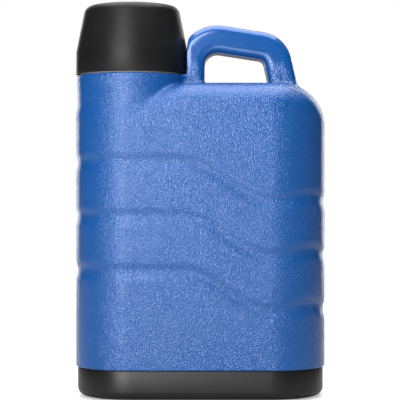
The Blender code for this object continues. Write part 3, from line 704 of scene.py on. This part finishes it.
# %% The thread tree
def thread_tree():
    """A tapered trapezoid section swept up a spiral, at a height and beside an axis given by name."""
    tree = bpy.data.node_groups.new("screw_thread", "GeometryNodeTree")
    tree.interface.new_socket("Geometry", in_out="INPUT", socket_type="NodeSocketGeometry")
    widths = ("Base Width", "Crest Width", "Depth")
    for name in ("Radius", "Pitch", "Turns", *widths, "Start Height", "Axis X"):
        tree.interface.new_socket(name, in_out="INPUT", socket_type="NodeSocketFloat")
    tree.interface.new_socket("Material", in_out="INPUT", socket_type="NodeSocketMaterial")
    tree.interface.new_socket("Geometry", in_out="OUTPUT", socket_type="NodeSocketGeometry")
    given = add_node(tree, "NodeGroupInput").outputs
    rise = add_node(tree, "ShaderNodeMath", {0: given["Pitch"], 1: given["Turns"]}, operation="MULTIPLY")
    spiral = add_node(tree, "GeometryNodeCurveSpiral", {
        "Resolution": 72, "Rotations": given["Turns"], "Start Radius": given["Radius"],
        "End Radius": given["Radius"], "Height": rise.outputs[0],
    })
    upright = add_node(tree, "GeometryNodeSetCurveNormal", {"Curve": spiral.outputs[0]}, mode="Z_UP")
    section = add_node(tree, "GeometryNodeCurvePrimitiveQuadrilateral", {
        "Height": given["Depth"], "Bottom Width": given["Base Width"], "Top Width": given["Crest Width"],
        "Offset": 0.0,
    }, mode="TRAPEZOID")
    turned_section = add_node(tree, "GeometryNodeTransform", {
        "Geometry": section.outputs[0], "Rotation": (0.0, 0.0, math.pi / 2),
    })
    factor = add_node(tree, "GeometryNodeSplineParameter").outputs["Factor"]
    left = add_node(tree, "ShaderNodeMath", {0: 1.0, 1: factor}, operation="SUBTRACT")
    nearer = add_node(tree, "ShaderNodeMath", {0: factor, 1: left.outputs[0]}, operation="MINIMUM")
    turns_in = add_node(
        tree, "ShaderNodeMath", {0: nearer.outputs[0], 1: given["Turns"]}, operation="MULTIPLY",
    )
    run_out = add_node(tree, "ShaderNodeMapRange", {
        "Value": turns_in.outputs[0], "From Max": 0.12, "To Min": 0.15,
    }, interpolation_type="SMOOTHSTEP")
    swept = add_node(tree, "GeometryNodeCurveToMesh", {
        "Curve": upright.outputs[0], "Profile Curve": turned_section.outputs[0],
        "Scale": run_out.outputs[0], "Fill Caps": True,
    })
    place = add_node(tree, "ShaderNodeCombineXYZ", {"X": given["Axis X"], "Z": given["Start Height"]})
    moved = add_node(tree, "GeometryNodeTransform", {
        "Geometry": swept.outputs[0], "Translation": place.outputs[0],
    })
    real = add_node(tree, "GeometryNodeRealizeInstances", {"Geometry": moved.outputs[0]})
    coloured = add_node(tree, "GeometryNodeSetMaterial", {
        "Geometry": real.outputs[0], "Material": given["Material"],
    })
    add_node(tree, "NodeGroupOutput", {"Geometry": coloured.outputs[0]})
    return tree


def grown(name, tree, sizes):
    """Runs a Geometry Nodes tree with the sizes given by name, and keeps its result as a plain mesh."""
    obj = bpy.data.objects.new(name, bpy.data.meshes.new(name))
    bpy.context.scene.collection.objects.link(obj)
    modifier = obj.modifiers.new("grow", "NODES")
    modifier.node_group = tree
    for item in tree.interface.items_tree:
        if item.item_type == "SOCKET" and item.in_out == "INPUT" and item.name in sizes:
            modifier[item.identifier] = sizes[item.name]
    bpy.context.view_layer.update()
    mesh = bpy.data.meshes.new_from_object(obj.evaluated_get(bpy.context.evaluated_depsgraph_get()))
    obj.modifiers.clear()
    bm = bmesh.new()
    bm.from_mesh(mesh)
    bmesh.ops.remove_doubles(bm, verts=bm.verts, dist=1e-7)
    bmesh.ops.recalc_face_normals(bm, faces=bm.faces)
    bm.to_mesh(mesh)
    bm.free()
    obj.data = mesh
    print(f"{name}: {len(mesh.polygons)} faces")
    return obj


screw_thread = thread_tree()
THREAD_PITCH = 0.0060
THREAD_DEPTH = 0.0012
THREAD_CLEARANCE = 0.0004
THREAD_ROOT_WIDTH = 0.0032
THREAD_CREST_WIDTH = 0.0012
THREAD_SINK = 0.0001

# %% [markdown]
# ## The neck's collar, gasket and pouring lip
#
# Under the cup stands a black collar that carries the thread, clamped down on a rubber gasket over the
# shell's column. A white lip caps the collar and gives the water an edge to pour over. These are turned
# shapes with small roundings, where the mould parts and edges are eased.

# %% Rubber and white plastic
def soft_rubber(name, dark, light, roughness):
    """Moulded rubber: matt, with a faint bloom of paler patches and a fine tooth."""
    material, tree, shader, place = new_material(name, roughness, 1.52)
    bloom = add_node(tree, "ShaderNodeTexNoise", {"Vector": place, "Scale": 60.0, "Detail": 5.0})
    colour = mix_colours(tree, bloom.outputs["Fac"], dark, light)
    tree.links.new(colour, shader.inputs["Base Color"])
    tooth = add_node(tree, "ShaderNodeTexVoronoi", {"Vector": place, "Scale": 1100.0})
    bump = add_node(tree, "ShaderNodeBump", {"Height": tooth.outputs["Distance"], "Distance": 0.00006})
    tree.links.new(bump.outputs["Normal"], shader.inputs["Normal"])
    return material


collar_plastic = moulded_plastic("polypropylene_black_collar", "19191a", "222223", 0.38, 0.0006, 0.00003)
lip_plastic = moulded_plastic("polypropylene_white", "dfe0dc", "e9eae6", 0.34, 0.0006, 0.00002)
seal_silicone = soft_rubber("silicone_grey_seal", "8f9294", "a3a6a8", 0.55)

# %% Collar with its thread
COLLAR_BORE = 0.0369
COLLAR_RADIUS = 0.0414
COLLAR_FLANGE_RADIUS = (collar_high.x - collar_low.x) / 2
COLLAR_SPIGOT_RADIUS = NECK_HOLE_RADIUS - GAP
COLLAR_FLANGE_Z = gasket_high.z + GAP
COLLAR_FLANGE_TOP_Z = cup_seal_low.z - GAP
collar = turned("neck_collar_screw", [
    (COLLAR_BORE, collar_low.z + 0.0006),
    (COLLAR_BORE + 0.0006, collar_low.z),
    (COLLAR_SPIGOT_RADIUS - 0.0006, collar_low.z),
    (COLLAR_SPIGOT_RADIUS, collar_low.z + 0.0006),
    (COLLAR_SPIGOT_RADIUS, COLLAR_FLANGE_Z),
    *corner_arc(COLLAR_FLANGE_RADIUS - 0.0006, COLLAR_FLANGE_Z + 0.0006, 0.0006, -90, 0, 3),
    *corner_arc(COLLAR_FLANGE_RADIUS - 0.0006, COLLAR_FLANGE_TOP_Z - 0.0006, 0.0006, 0, 90, 3),
    *reversed(corner_arc(COLLAR_RADIUS + 0.0003, COLLAR_FLANGE_TOP_Z + 0.0003, 0.0003, 180, 270, 2)),
    *corner_arc(COLLAR_RADIUS - 0.0012, collar_high.z - 0.0012, 0.0012, 0, 90, 4),
    (COLLAR_BORE + 0.0004, collar_high.z),
    (COLLAR_BORE, collar_high.z - 0.0004),
], collar_plastic, x=NECK_X)
collar_thread = grown("collar_thread", screw_thread, {
    "Radius": COLLAR_RADIUS + THREAD_DEPTH / 2 - THREAD_SINK, "Pitch": THREAD_PITCH, "Turns": 1.6,
    "Base Width": THREAD_ROOT_WIDTH, "Crest Width": THREAD_CREST_WIDTH,
    "Depth": THREAD_DEPTH + 2 * THREAD_SINK,
    "Start Height": lining_low.z + 0.0032, "Axis X": NECK_X, "Material": collar_plastic,
})
solve(collar, collar_thread, "UNION")
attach(collar, "jug")
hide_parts("neck_collar")

# %% Gasket and pouring lip
gasket_outer = (gasket_high.x - gasket_low.x) / 2
gasket = turned("neck_gasket_ring", rounded_ring(
    NECK_HOLE_RADIUS + GAP, gasket_outer, gasket_low.z, gasket_high.z, 0.0003
), seal_silicone, x=NECK_X)
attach(gasket, "jug")
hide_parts("neck_gasket")

MOUTH_RADIUS = 0.0345
lip = turned("pour_lip_ring", [
    *corner_arc(COLLAR_RADIUS - 0.0006, lip_low.z + 0.0006, 0.0006, -90, 0, 3),
    *corner_arc(COLLAR_RADIUS - 0.0010, lip_high.z - 0.0017 - 0.0010, 0.0010, 0, 90, 4),
    (MOUTH_RADIUS + 0.0024, lip_high.z - 0.0017),
    *corner_arc(MOUTH_RADIUS + 0.0012, lip_high.z - 0.0006, 0.0006, 0, 90, 3),
    *corner_arc(MOUTH_RADIUS + 0.0006, lip_high.z - 0.0006, 0.0006, 90, 180, 3),
    (MOUTH_RADIUS, lip_low.z + 0.0003),
    (MOUTH_RADIUS + 0.0003, lip_low.z),
], lip_plastic, x=NECK_X)
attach(lip, "jug")
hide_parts("pour_lip")

# %% [markdown]
# ## The cup's lining and seal
#
# The white lining is what one drinks from. It stands a little off the outer wall, so the cup stays cool
# outside, and it carries the thread that grips the collar. Below it a silicone ring meets the collar's
# flange.

# %% Lining with its inner thread
LINING_WALL = 0.0020
LINING_INSET = CUP_WALL + 0.0016
LINING_RADIUS = (lining_high.x - lining_low.x) / 2
LINING_ROOT = LINING_RADIUS - LINING_WALL
LINING_CREST = COLLAR_RADIUS + THREAD_DEPTH + THREAD_CLEARANCE
LINING_INSIDE = LINING_INSET + LINING_WALL
lining = turned("cup_lining_wall", [
    (LINING_ROOT, lining_low.z + 0.0005),
    (LINING_ROOT + 0.0005, lining_low.z),
    (LINING_RADIUS - 0.0005, lining_low.z),
    (LINING_RADIUS, lining_low.z + 0.0005),
    (LINING_RADIUS - 0.0004, CUP_CREASE_Z - 0.002),
    (cup_radius(CUP_CREASE_Z + 0.006, LINING_INSET), CUP_CREASE_Z + 0.006),
    *cup_crown(LINING_INSET, 8),
    (0, CUP_TOP_Z - LINING_INSET),
    (0, CUP_TOP_Z - LINING_INSIDE),
    *reversed(cup_crown(LINING_INSIDE, 6)),
    (cup_radius(lip_high.z, LINING_INSIDE), lip_high.z),
    (LINING_ROOT, lip_high.z - 0.006),
], lip_plastic, x=NECK_X)
lining_thread = grown("lining_thread", screw_thread, {
    "Radius": (LINING_ROOT + LINING_CREST) / 2 + THREAD_SINK, "Pitch": THREAD_PITCH, "Turns": 1.6,
    "Base Width": THREAD_CREST_WIDTH, "Crest Width": THREAD_ROOT_WIDTH,
    "Depth": LINING_ROOT - LINING_CREST + 2 * THREAD_SINK,
    "Start Height": lining_low.z + 0.0062, "Axis X": NECK_X, "Material": lip_plastic,
})
solve(lining, lining_thread, "UNION")
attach(lining, "cup")
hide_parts("cup_lining")

# %% Seal under the lining
cup_ring = turned("cup_seal_ring", rounded_ring(
    COLLAR_RADIUS + THREAD_DEPTH + 0.0003, (cup_seal_high.x - cup_seal_low.x) / 2,
    cup_seal_low.z, cup_seal_high.z, 0.0004
), seal_silicone, x=NECK_X)
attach(cup_ring, "cup_ring")
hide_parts("cup_seal")

# %% [markdown]
# ## The screw stopper
#
# Under the cup a stopper filled with foam screws into the mouth. Its lid has a bar to turn it by, with
# small ribs on both faces so that wet fingers don't slip. The ribs repeat along the bar, so a second
# tree places them: a line of points, a rib on each, and the same again on the other face.

# %% Rib tree
def rib_tree():
    """A row of upright ribs along X, centred on a point given by name."""
    tree = bpy.data.node_groups.new("rib_row", "GeometryNodeTree")
    tree.interface.new_socket("Geometry", in_out="INPUT", socket_type="NodeSocketGeometry")
    tree.interface.new_socket("Count", in_out="INPUT", socket_type="NodeSocketInt")
    for name in ("Spacing", "Width", "Length", "Height"):
        tree.interface.new_socket(name, in_out="INPUT", socket_type="NodeSocketFloat")
    tree.interface.new_socket("Middle", in_out="INPUT", socket_type="NodeSocketVector")
    tree.interface.new_socket("Material", in_out="INPUT", socket_type="NodeSocketMaterial")
    tree.interface.new_socket("Geometry", in_out="OUTPUT", socket_type="NodeSocketGeometry")
    given = add_node(tree, "NodeGroupInput").outputs
    gaps = add_node(tree, "ShaderNodeMath", {0: given["Count"], 1: 1.0}, operation="SUBTRACT")
    span = add_node(tree, "ShaderNodeMath", {0: gaps.outputs[0], 1: given["Spacing"]}, operation="MULTIPLY")
    half = add_node(tree, "ShaderNodeMath", {0: span.outputs[0], 1: -0.5}, operation="MULTIPLY")
    first = add_node(tree, "ShaderNodeCombineXYZ", {"X": half.outputs[0]})
    start = add_node(
        tree, "ShaderNodeVectorMath", {0: first.outputs[0], 1: given["Middle"]}, operation="ADD",
    )
    offset = add_node(tree, "ShaderNodeCombineXYZ", {"X": given["Spacing"]})
    row = add_node(tree, "GeometryNodeMeshLine", {
        "Count": given["Count"], "Start Location": start.outputs[0], "Offset": offset.outputs[0],
    })
    rib = add_node(tree, "GeometryNodeMeshCylinder", {
        "Vertices": 12, "Radius": 0.5, "Depth": 1.0,
    })
    size = add_node(tree, "ShaderNodeCombineXYZ", {
        "X": given["Width"], "Y": given["Length"], "Z": given["Height"],
    })
    placed = add_node(tree, "GeometryNodeInstanceOnPoints", {
        "Points": row.outputs[0], "Instance": rib.outputs[0], "Scale": size.outputs[0],
    })
    real = add_node(tree, "GeometryNodeRealizeInstances", {"Geometry": placed.outputs[0]})
    coloured = add_node(tree, "GeometryNodeSetMaterial", {
        "Geometry": real.outputs[0], "Material": given["Material"],
    })
    add_node(tree, "NodeGroupOutput", {"Geometry": coloured.outputs[0]})
    return tree


rib_row = rib_tree()

# %% Stopper body with its thread
STOPPER_CREST = MOUTH_RADIUS - GAP
STOPPER_RADIUS = STOPPER_CREST - THREAD_DEPTH
STOPPER_WALL = 0.0022
STOPPER_ROUND = 0.003
STOPPER_BORE = STOPPER_RADIUS - STOPPER_WALL
STOPPER_FLANGE_RADIUS = (stopper_high.x - stopper_low.x) / 2
STOPPER_FLANGE_Z = stopper_seal_high.z + GAP
stopper_body = turned("stopper_plug", [
    (0, stopper_low.z),
    *corner_arc(
        STOPPER_RADIUS - STOPPER_ROUND, stopper_low.z + STOPPER_ROUND, STOPPER_ROUND, -90, 0, 6,
    ),
    (STOPPER_RADIUS, STOPPER_FLANGE_Z),
    *corner_arc(STOPPER_FLANGE_RADIUS - 0.0005, STOPPER_FLANGE_Z + 0.0005, 0.0005, -90, 0, 3),
    (STOPPER_FLANGE_RADIUS, stopper_high.z),
    (STOPPER_BORE, stopper_high.z),
    (STOPPER_BORE, stopper_low.z + STOPPER_WALL),
    (0, stopper_low.z + STOPPER_WALL),
], collar_plastic, x=NECK_X)
stopper_thread = grown("stopper_thread", screw_thread, {
    "Radius": (STOPPER_RADIUS + STOPPER_CREST) / 2 - THREAD_SINK, "Pitch": THREAD_PITCH, "Turns": 1.5,
    "Base Width": THREAD_ROOT_WIDTH, "Crest Width": THREAD_CREST_WIDTH,
    "Depth": THREAD_DEPTH + 2 * THREAD_SINK,
    "Start Height": stopper_low.z + 0.013, "Axis X": NECK_X, "Material": collar_plastic,
})
solve(stopper_body, stopper_thread, "UNION")
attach(stopper_body, "stopper")
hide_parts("stopper_body")

# %% Stopper lid with its ribbed bar
LID_Z = stopper_high.z + GAP
LID_TOP_Z = LID_Z + STOPPER_WALL
GRIP_LENGTH = 0.0578
GRIP_THICKNESS = 0.0108
GRIP_SINK = 0.0010
GRIP_ROUND = 0.0024
lid = turned("stopper_lid_grip", [
    (0, lid_low.z),
    (STOPPER_BORE - GAP - 0.0004, lid_low.z),
    (STOPPER_BORE - GAP, lid_low.z + 0.0004),
    (STOPPER_BORE - GAP, LID_Z),
    (STOPPER_FLANGE_RADIUS, LID_Z),
    *corner_arc(STOPPER_FLANGE_RADIUS - 0.0010, LID_TOP_Z - 0.0010, 0.0010, 0, 90, 4),
    (0, LID_TOP_Z),
], collar_plastic, x=NECK_X)
bm = bmesh.new()
bmesh.ops.create_cube(bm, size=1.0)
grip_foot_z = LID_TOP_Z - GRIP_SINK
grip_size = (GRIP_LENGTH, GRIP_THICKNESS, lid_high.z - grip_foot_z)
bmesh.ops.scale(bm, vec=grip_size, verts=bm.verts)
bmesh.ops.translate(bm, vec=(NECK_X, 0, grip_foot_z + grip_size[2] / 2), verts=bm.verts)
upper = [e for e in bm.edges if sum(v.co.z for v in e.verts) / 2 > LID_TOP_Z]
bmesh.ops.bevel(bm, geom=upper, offset=GRIP_ROUND, segments=4, profile=0.5, affect="EDGES")
bar = mesh_piece("stopper_bar", bm, collar_plastic)
solve(lid, bar, "UNION")
grip_height = lid_high.z - LID_TOP_Z
for side in (-1, 1):
    ribs = grown(f"grip_ribs_{side + 1}", rib_row, {
        "Count": 9, "Spacing": 0.0055, "Width": 0.0022, "Length": 0.0016,
        "Height": grip_height - 0.0022,
        "Middle": (NECK_X, side * grip_size[1] / 2, LID_TOP_Z + (grip_height - 0.0030) / 2),
        "Material": collar_plastic,
    })
    solve(lid, ribs, "UNION")
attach(lid, "stopper")
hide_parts("stopper_lid")

# %% Stopper seal
plug_seal = turned("stopper_seal_ring", rounded_ring(
    MOUTH_RADIUS, (stopper_seal_high.x - stopper_seal_low.x) / 2,
    stopper_seal_low.z, stopper_seal_high.z, 0.0004
), seal_silicone, x=NECK_X)
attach(plug_seal, "stopper_ring")
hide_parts("stopper_seal")

# %% [markdown]
# ## The base
#
# The base is a shallow tray of black plastic that plugs into the shell's open foot. It follows the
# shell's plan, 1.6 mm in, with a well-rounded lower edge. Seen from outside it is one section carried
# round the plan, so it is skinned ring by ring at different insets. The sides are a little rougher
# than the cup: the same plastic from a coarser mould.

# %% Matt black base plastic
base_plastic = moulded_plastic(
    "polypropylene_black_base", "0d0d0e", "121214", 0.36, 0.0009, 0.00004, specular=0.34,
)

# %% Base cover
BASE_INSET = 0.0016
BASE_EDGE_RADIUS = 0.0075
BASE_WALL = 0.0022
SPIGOT_INSET = SHELL_WALL + GAP
BASE_FLOOR = 0.0028
SEAM_TOP_Z = SHELL_BOTTOM_Z - GAP


def plan_ring(inset, z, end_steps=26, front_steps=24):
    """Points round the plan, moved in by inset."""
    radius = END_RADIUS - inset
    turns = [math.pi / 2 * i / end_steps for i in range(end_steps + 1)]
    quarter = [(END_CENTRE_X + radius * math.cos(turn), radius * math.sin(turn)) for turn in turns]
    quarter += [(END_CENTRE_X * (1 - i / front_steps), radius) for i in range(1, front_steps + 1)]
    back = quarter + [(-x, y) for x, y in reversed(quarter[:-1])]
    ring = back + [(x, -y) for x, y in reversed(back[1:-1])]
    crowned = []
    for x, y in ring:
        crown = FRONT_CROWN * (1 - (x / HALF_WIDTH) ** 2)
        crowned.append((x, y * (1 + crown / END_RADIUS), z))
    return crowned


def plan_loft(name, stations, material):
    """Skins copies of the plan at (inset, height), closed at both ends."""
    bm = bmesh.new()
    rings = [[bm.verts.new(point) for point in plan_ring(inset, z)] for inset, z in stations]
    count = len(rings[0])
    for low, high in zip(rings, rings[1:]):
        for i in range(count):
            j = (i + 1) % count
            bm.faces.new((low[i], low[j], high[j], high[i]))
    for ring in (rings[0], rings[-1]):
        half = count // 2
        bm.faces.new((ring[0], ring[1], ring[count - 1]))
        for i in range(1, half - 1):
            bm.faces.new((ring[i], ring[i + 1], ring[count - i - 1], ring[count - i]))
        bm.faces.new((ring[half - 1], ring[half], ring[half + 1]))
    return mesh_piece(name, bm, material)


edge_centre = BASE_INSET + BASE_EDGE_RADIUS
base_edge = corner_arc(edge_centre, base_low.z + BASE_EDGE_RADIUS, BASE_EDGE_RADIUS, 270, 180, 8)
base = plan_loft("base_tray", [
    *base_edge,
    (BASE_INSET, SEAM_TOP_Z - 0.0008),
    (BASE_INSET + 0.0002, SEAM_TOP_Z - 0.0002),
    (BASE_INSET + 0.0007, SEAM_TOP_Z),
    (SPIGOT_INSET, SEAM_TOP_Z),
    (SPIGOT_INSET, base_high.z - 0.0008),
    (SPIGOT_INSET + 0.0006, base_high.z),
    (SPIGOT_INSET + BASE_WALL, base_high.z),
    (SPIGOT_INSET + BASE_WALL, base_low.z + BASE_FLOOR),
], base_plastic)

# %% Feet and their pockets
foot_rubber = soft_rubber("rubber_black_feet", "151515", "1f1f1f", 0.82)
FOOT_RADIUS = (foot_high.x - foot_low.x) / 2
TREAD_RADII = (0.0070, 0.0045, 0.0020)
for node in ("foot_left_front", "foot_left_back", "foot_right_front", "foot_right_back"):
    low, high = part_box(node)
    x, y = (low.x + high.x) / 2, (low.y + high.y) / 2
    pocket = turned("pocket", [
        (0, base_low.z - 0.004), (FOOT_RADIUS + GAP, base_low.z - 0.004),
        (FOOT_RADIUS + GAP, high.z + GAP), (0, high.z + GAP),
    ], base_plastic, x=x, y=y, steps=48)
    solve(base, pocket, "DIFFERENCE")
    tread = []
    for ring_radius in TREAD_RADII:
        tread += [
            (ring_radius + 0.0006, low.z), (ring_radius + 0.0004, low.z + 0.0004),
            (ring_radius - 0.0004, low.z + 0.0004), (ring_radius - 0.0006, low.z),
        ]
    foot = turned(f"{node}_pad", [
        (0, high.z), (FOOT_RADIUS, high.z),
        *reversed(corner_arc(FOOT_RADIUS - 0.0008, low.z + 0.0008, 0.0008, -90, 0, 4)),
        *tread, (0, low.z),
    ], foot_rubber, x=x, y=y, steps=48)
    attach(foot, "jug")
    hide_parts(node)
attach(base, "jug")
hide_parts("base_cover")
print("base tray:", len(base.data.polygons), "faces")

# %% [markdown]
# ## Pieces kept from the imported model
#
# The liner and the foam are hidden inside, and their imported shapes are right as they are, so they only
# get finishes. The liner is white polypropylene. The foam is cream polyurethane, whose skin shows
# small cells: Voronoi cells of about 1.5 mm with soft pits between them.

# %% Polyurethane foam
def foam_skin():
    """Cream polyurethane foam with a skin of small cells."""
    material, tree, shader, place = new_material("polyurethane_foam_cream", 0.92, 1.45)
    cells = add_node(tree, "ShaderNodeTexVoronoi", {"Vector": place, "Scale": 650.0})
    patches = add_node(tree, "ShaderNodeTexNoise", {"Vector": place, "Scale": 45.0, "Detail": 3.0})
    colour = mix_colours(tree, patches.outputs["Fac"], "e6d9b4", "f1e7c8")
    tree.links.new(colour, shader.inputs["Base Color"])
    bump = add_node(tree, "ShaderNodeBump", {"Height": cells.outputs["Distance"], "Distance": 0.0004})
    tree.links.new(bump.outputs["Normal"], shader.inputs["Normal"])
    return material


foam = foam_skin()
kept_finishes = {
    "insulation_front": foam,
    "insulation_back": foam,
    "insulation_base_tray": foam,
    "stopper_core": foam,
    "inner_liner": lip_plastic,
}
for node, finish in kept_finishes.items():
    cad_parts[node].data.materials.clear()
    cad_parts[node].data.materials.append(finish)
print("pieces kept with new finishes:", ", ".join(kept_finishes))

# %% [markdown]
# ## The studio
#
# The jug stands in a white studio. A large soft lamp stands in front, a little to the left, and its
# mirror image is what makes the flat front glitter. A second lamp overhead lights the shoulders. The
# sides of the room are dark, which gives the deep blue bands at both corners, and the white room behind
# the jug draws a thin bright line down each edge. A glowing card on the floor carries the front lamp's
# light down to the jug's foot. To the camera alone, the room and the floor glow white, so that their
# light doesn't wash out the blue.

# %% World
world = bpy.data.worlds.new("white_studio")
bpy.context.scene.world = world
world.use_nodes = True
room = world.node_tree
room.nodes.clear()
direction = add_node(room, "ShaderNodeTexCoord").outputs["Generated"]
axes = add_node(room, "ShaderNodeSeparateXYZ", {0: direction})
behind = add_node(room, "ShaderNodeMapRange", {
    "Value": axes.outputs["Y"], "From Min": 0.78, "From Max": 0.98, "To Min": 0.03, "To Max": 0.28,
}, interpolation_type="SMOOTHSTEP")
overhead = add_node(room, "ShaderNodeMapRange", {
    "Value": axes.outputs["Z"], "From Min": 0.2, "From Max": 0.9, "To Min": 0.0, "To Max": 0.25,
}, interpolation_type="SMOOTHSTEP")
light = add_node(room, "ShaderNodeMath", {0: behind.outputs[0], 1: overhead.outputs[0]}, operation="ADD")
lit = add_node(room, "ShaderNodeBackground", {"Color": (1, 1, 1, 1), "Strength": light.outputs[0]})
white = add_node(room, "ShaderNodeBackground", {"Color": (1, 1, 1, 1), "Strength": 1.0})
seen = add_node(room, "ShaderNodeLightPath").outputs["Is Camera Ray"]
mixed = add_node(room, "ShaderNodeMixShader", {0: seen, 1: lit.outputs[0], 2: white.outputs[0]})
add_node(room, "ShaderNodeOutputWorld", {"Surface": mixed.outputs[0]})


# %% Lamps
def lamp(name, place, target, width, height, power):
    """A rectangular soft lamp aimed at a point."""
    data = bpy.data.lights.new(name, "AREA")
    data.shape = "RECTANGLE"
    data.size, data.size_y = width, height
    data.energy = power
    obj = bpy.data.objects.new(name, data)
    obj.location = place
    obj.rotation_euler = (Vector(target) - Vector(place)).to_track_quat("-Z", "Y").to_euler()
    obj.visible_camera = False
    bpy.context.scene.collection.objects.link(obj)
    return obj


MIDDLE = (0, 0, 0.17)
UPPER_MIDDLE = (0, 0, 0.20)
lamp("front_lamp", (-0.58, -1.64, 0.60), UPPER_MIDDLE, 0.95, 1.25, 42)
lamp("front_card", (-0.35, -0.95, 0.01), (-0.35, -0.95, 1.0), 0.9, 0.9, 8)
lamp("overhead_lamp", (0, 0, 1.40), UPPER_MIDDLE, 1.5, 1.8, 46)
lamp("left_rim_lamp", (-0.65, 1.5, 0.5), MIDDLE, 0.35, 1.3, 4)
lamp("right_rim_lamp", (0.65, 1.5, 0.5), MIDDLE, 0.35, 1.3, 4)

# %% Floor
FLOOR_HALF_SIZE = 6.0
bm = bmesh.new()
bmesh.ops.create_grid(bm, x_segments=1, y_segments=1, size=FLOOR_HALF_SIZE)
floor_paint, floor_tree, floor_shader, floor_place = new_material("studio_floor", 0.6, 1.45)
floor_shader.inputs["Base Color"].default_value = linear("b4b4b3")
floor_shader.inputs["Emission Color"].default_value = linear("ffffff")
# The floor's glow is painted light, seen by the camera alone: about half strength near the jug, full from 2
# m out.
distance = add_node(floor_tree, "ShaderNodeVectorMath", {0: floor_place}, operation="LENGTH")
spread = add_node(floor_tree, "ShaderNodeMapRange", {
    "Value": distance.outputs["Value"], "From Min": 0.2, "From Max": 2.0, "To Min": 0.45, "To Max": 1.0,
}, interpolation_type="SMOOTHSTEP")
direct = add_node(floor_tree, "ShaderNodeLightPath").outputs["Is Camera Ray"]
glow = add_node(
    floor_tree, "ShaderNodeMath", {0: spread.outputs["Result"], 1: direct}, operation="MULTIPLY",
)
floor_tree.links.new(glow.outputs[0], floor_shader.inputs["Emission Strength"])
floor = mesh_piece("studio_floor", bm, floor_paint)

# %% Camera
camera_data = bpy.data.cameras.new("camera")
camera_data.sensor_width = 36.0
camera_data.lens = 135.7
camera = bpy.data.objects.new("camera", camera_data)
camera.location = (-0.0003, -1.327, 0.1715)
camera.rotation_euler = (math.pi / 2, 0, 0)
bpy.context.scene.collection.objects.link(camera)
bpy.context.scene.camera = camera
bpy.context.scene.view_settings.view_transform = "Standard"
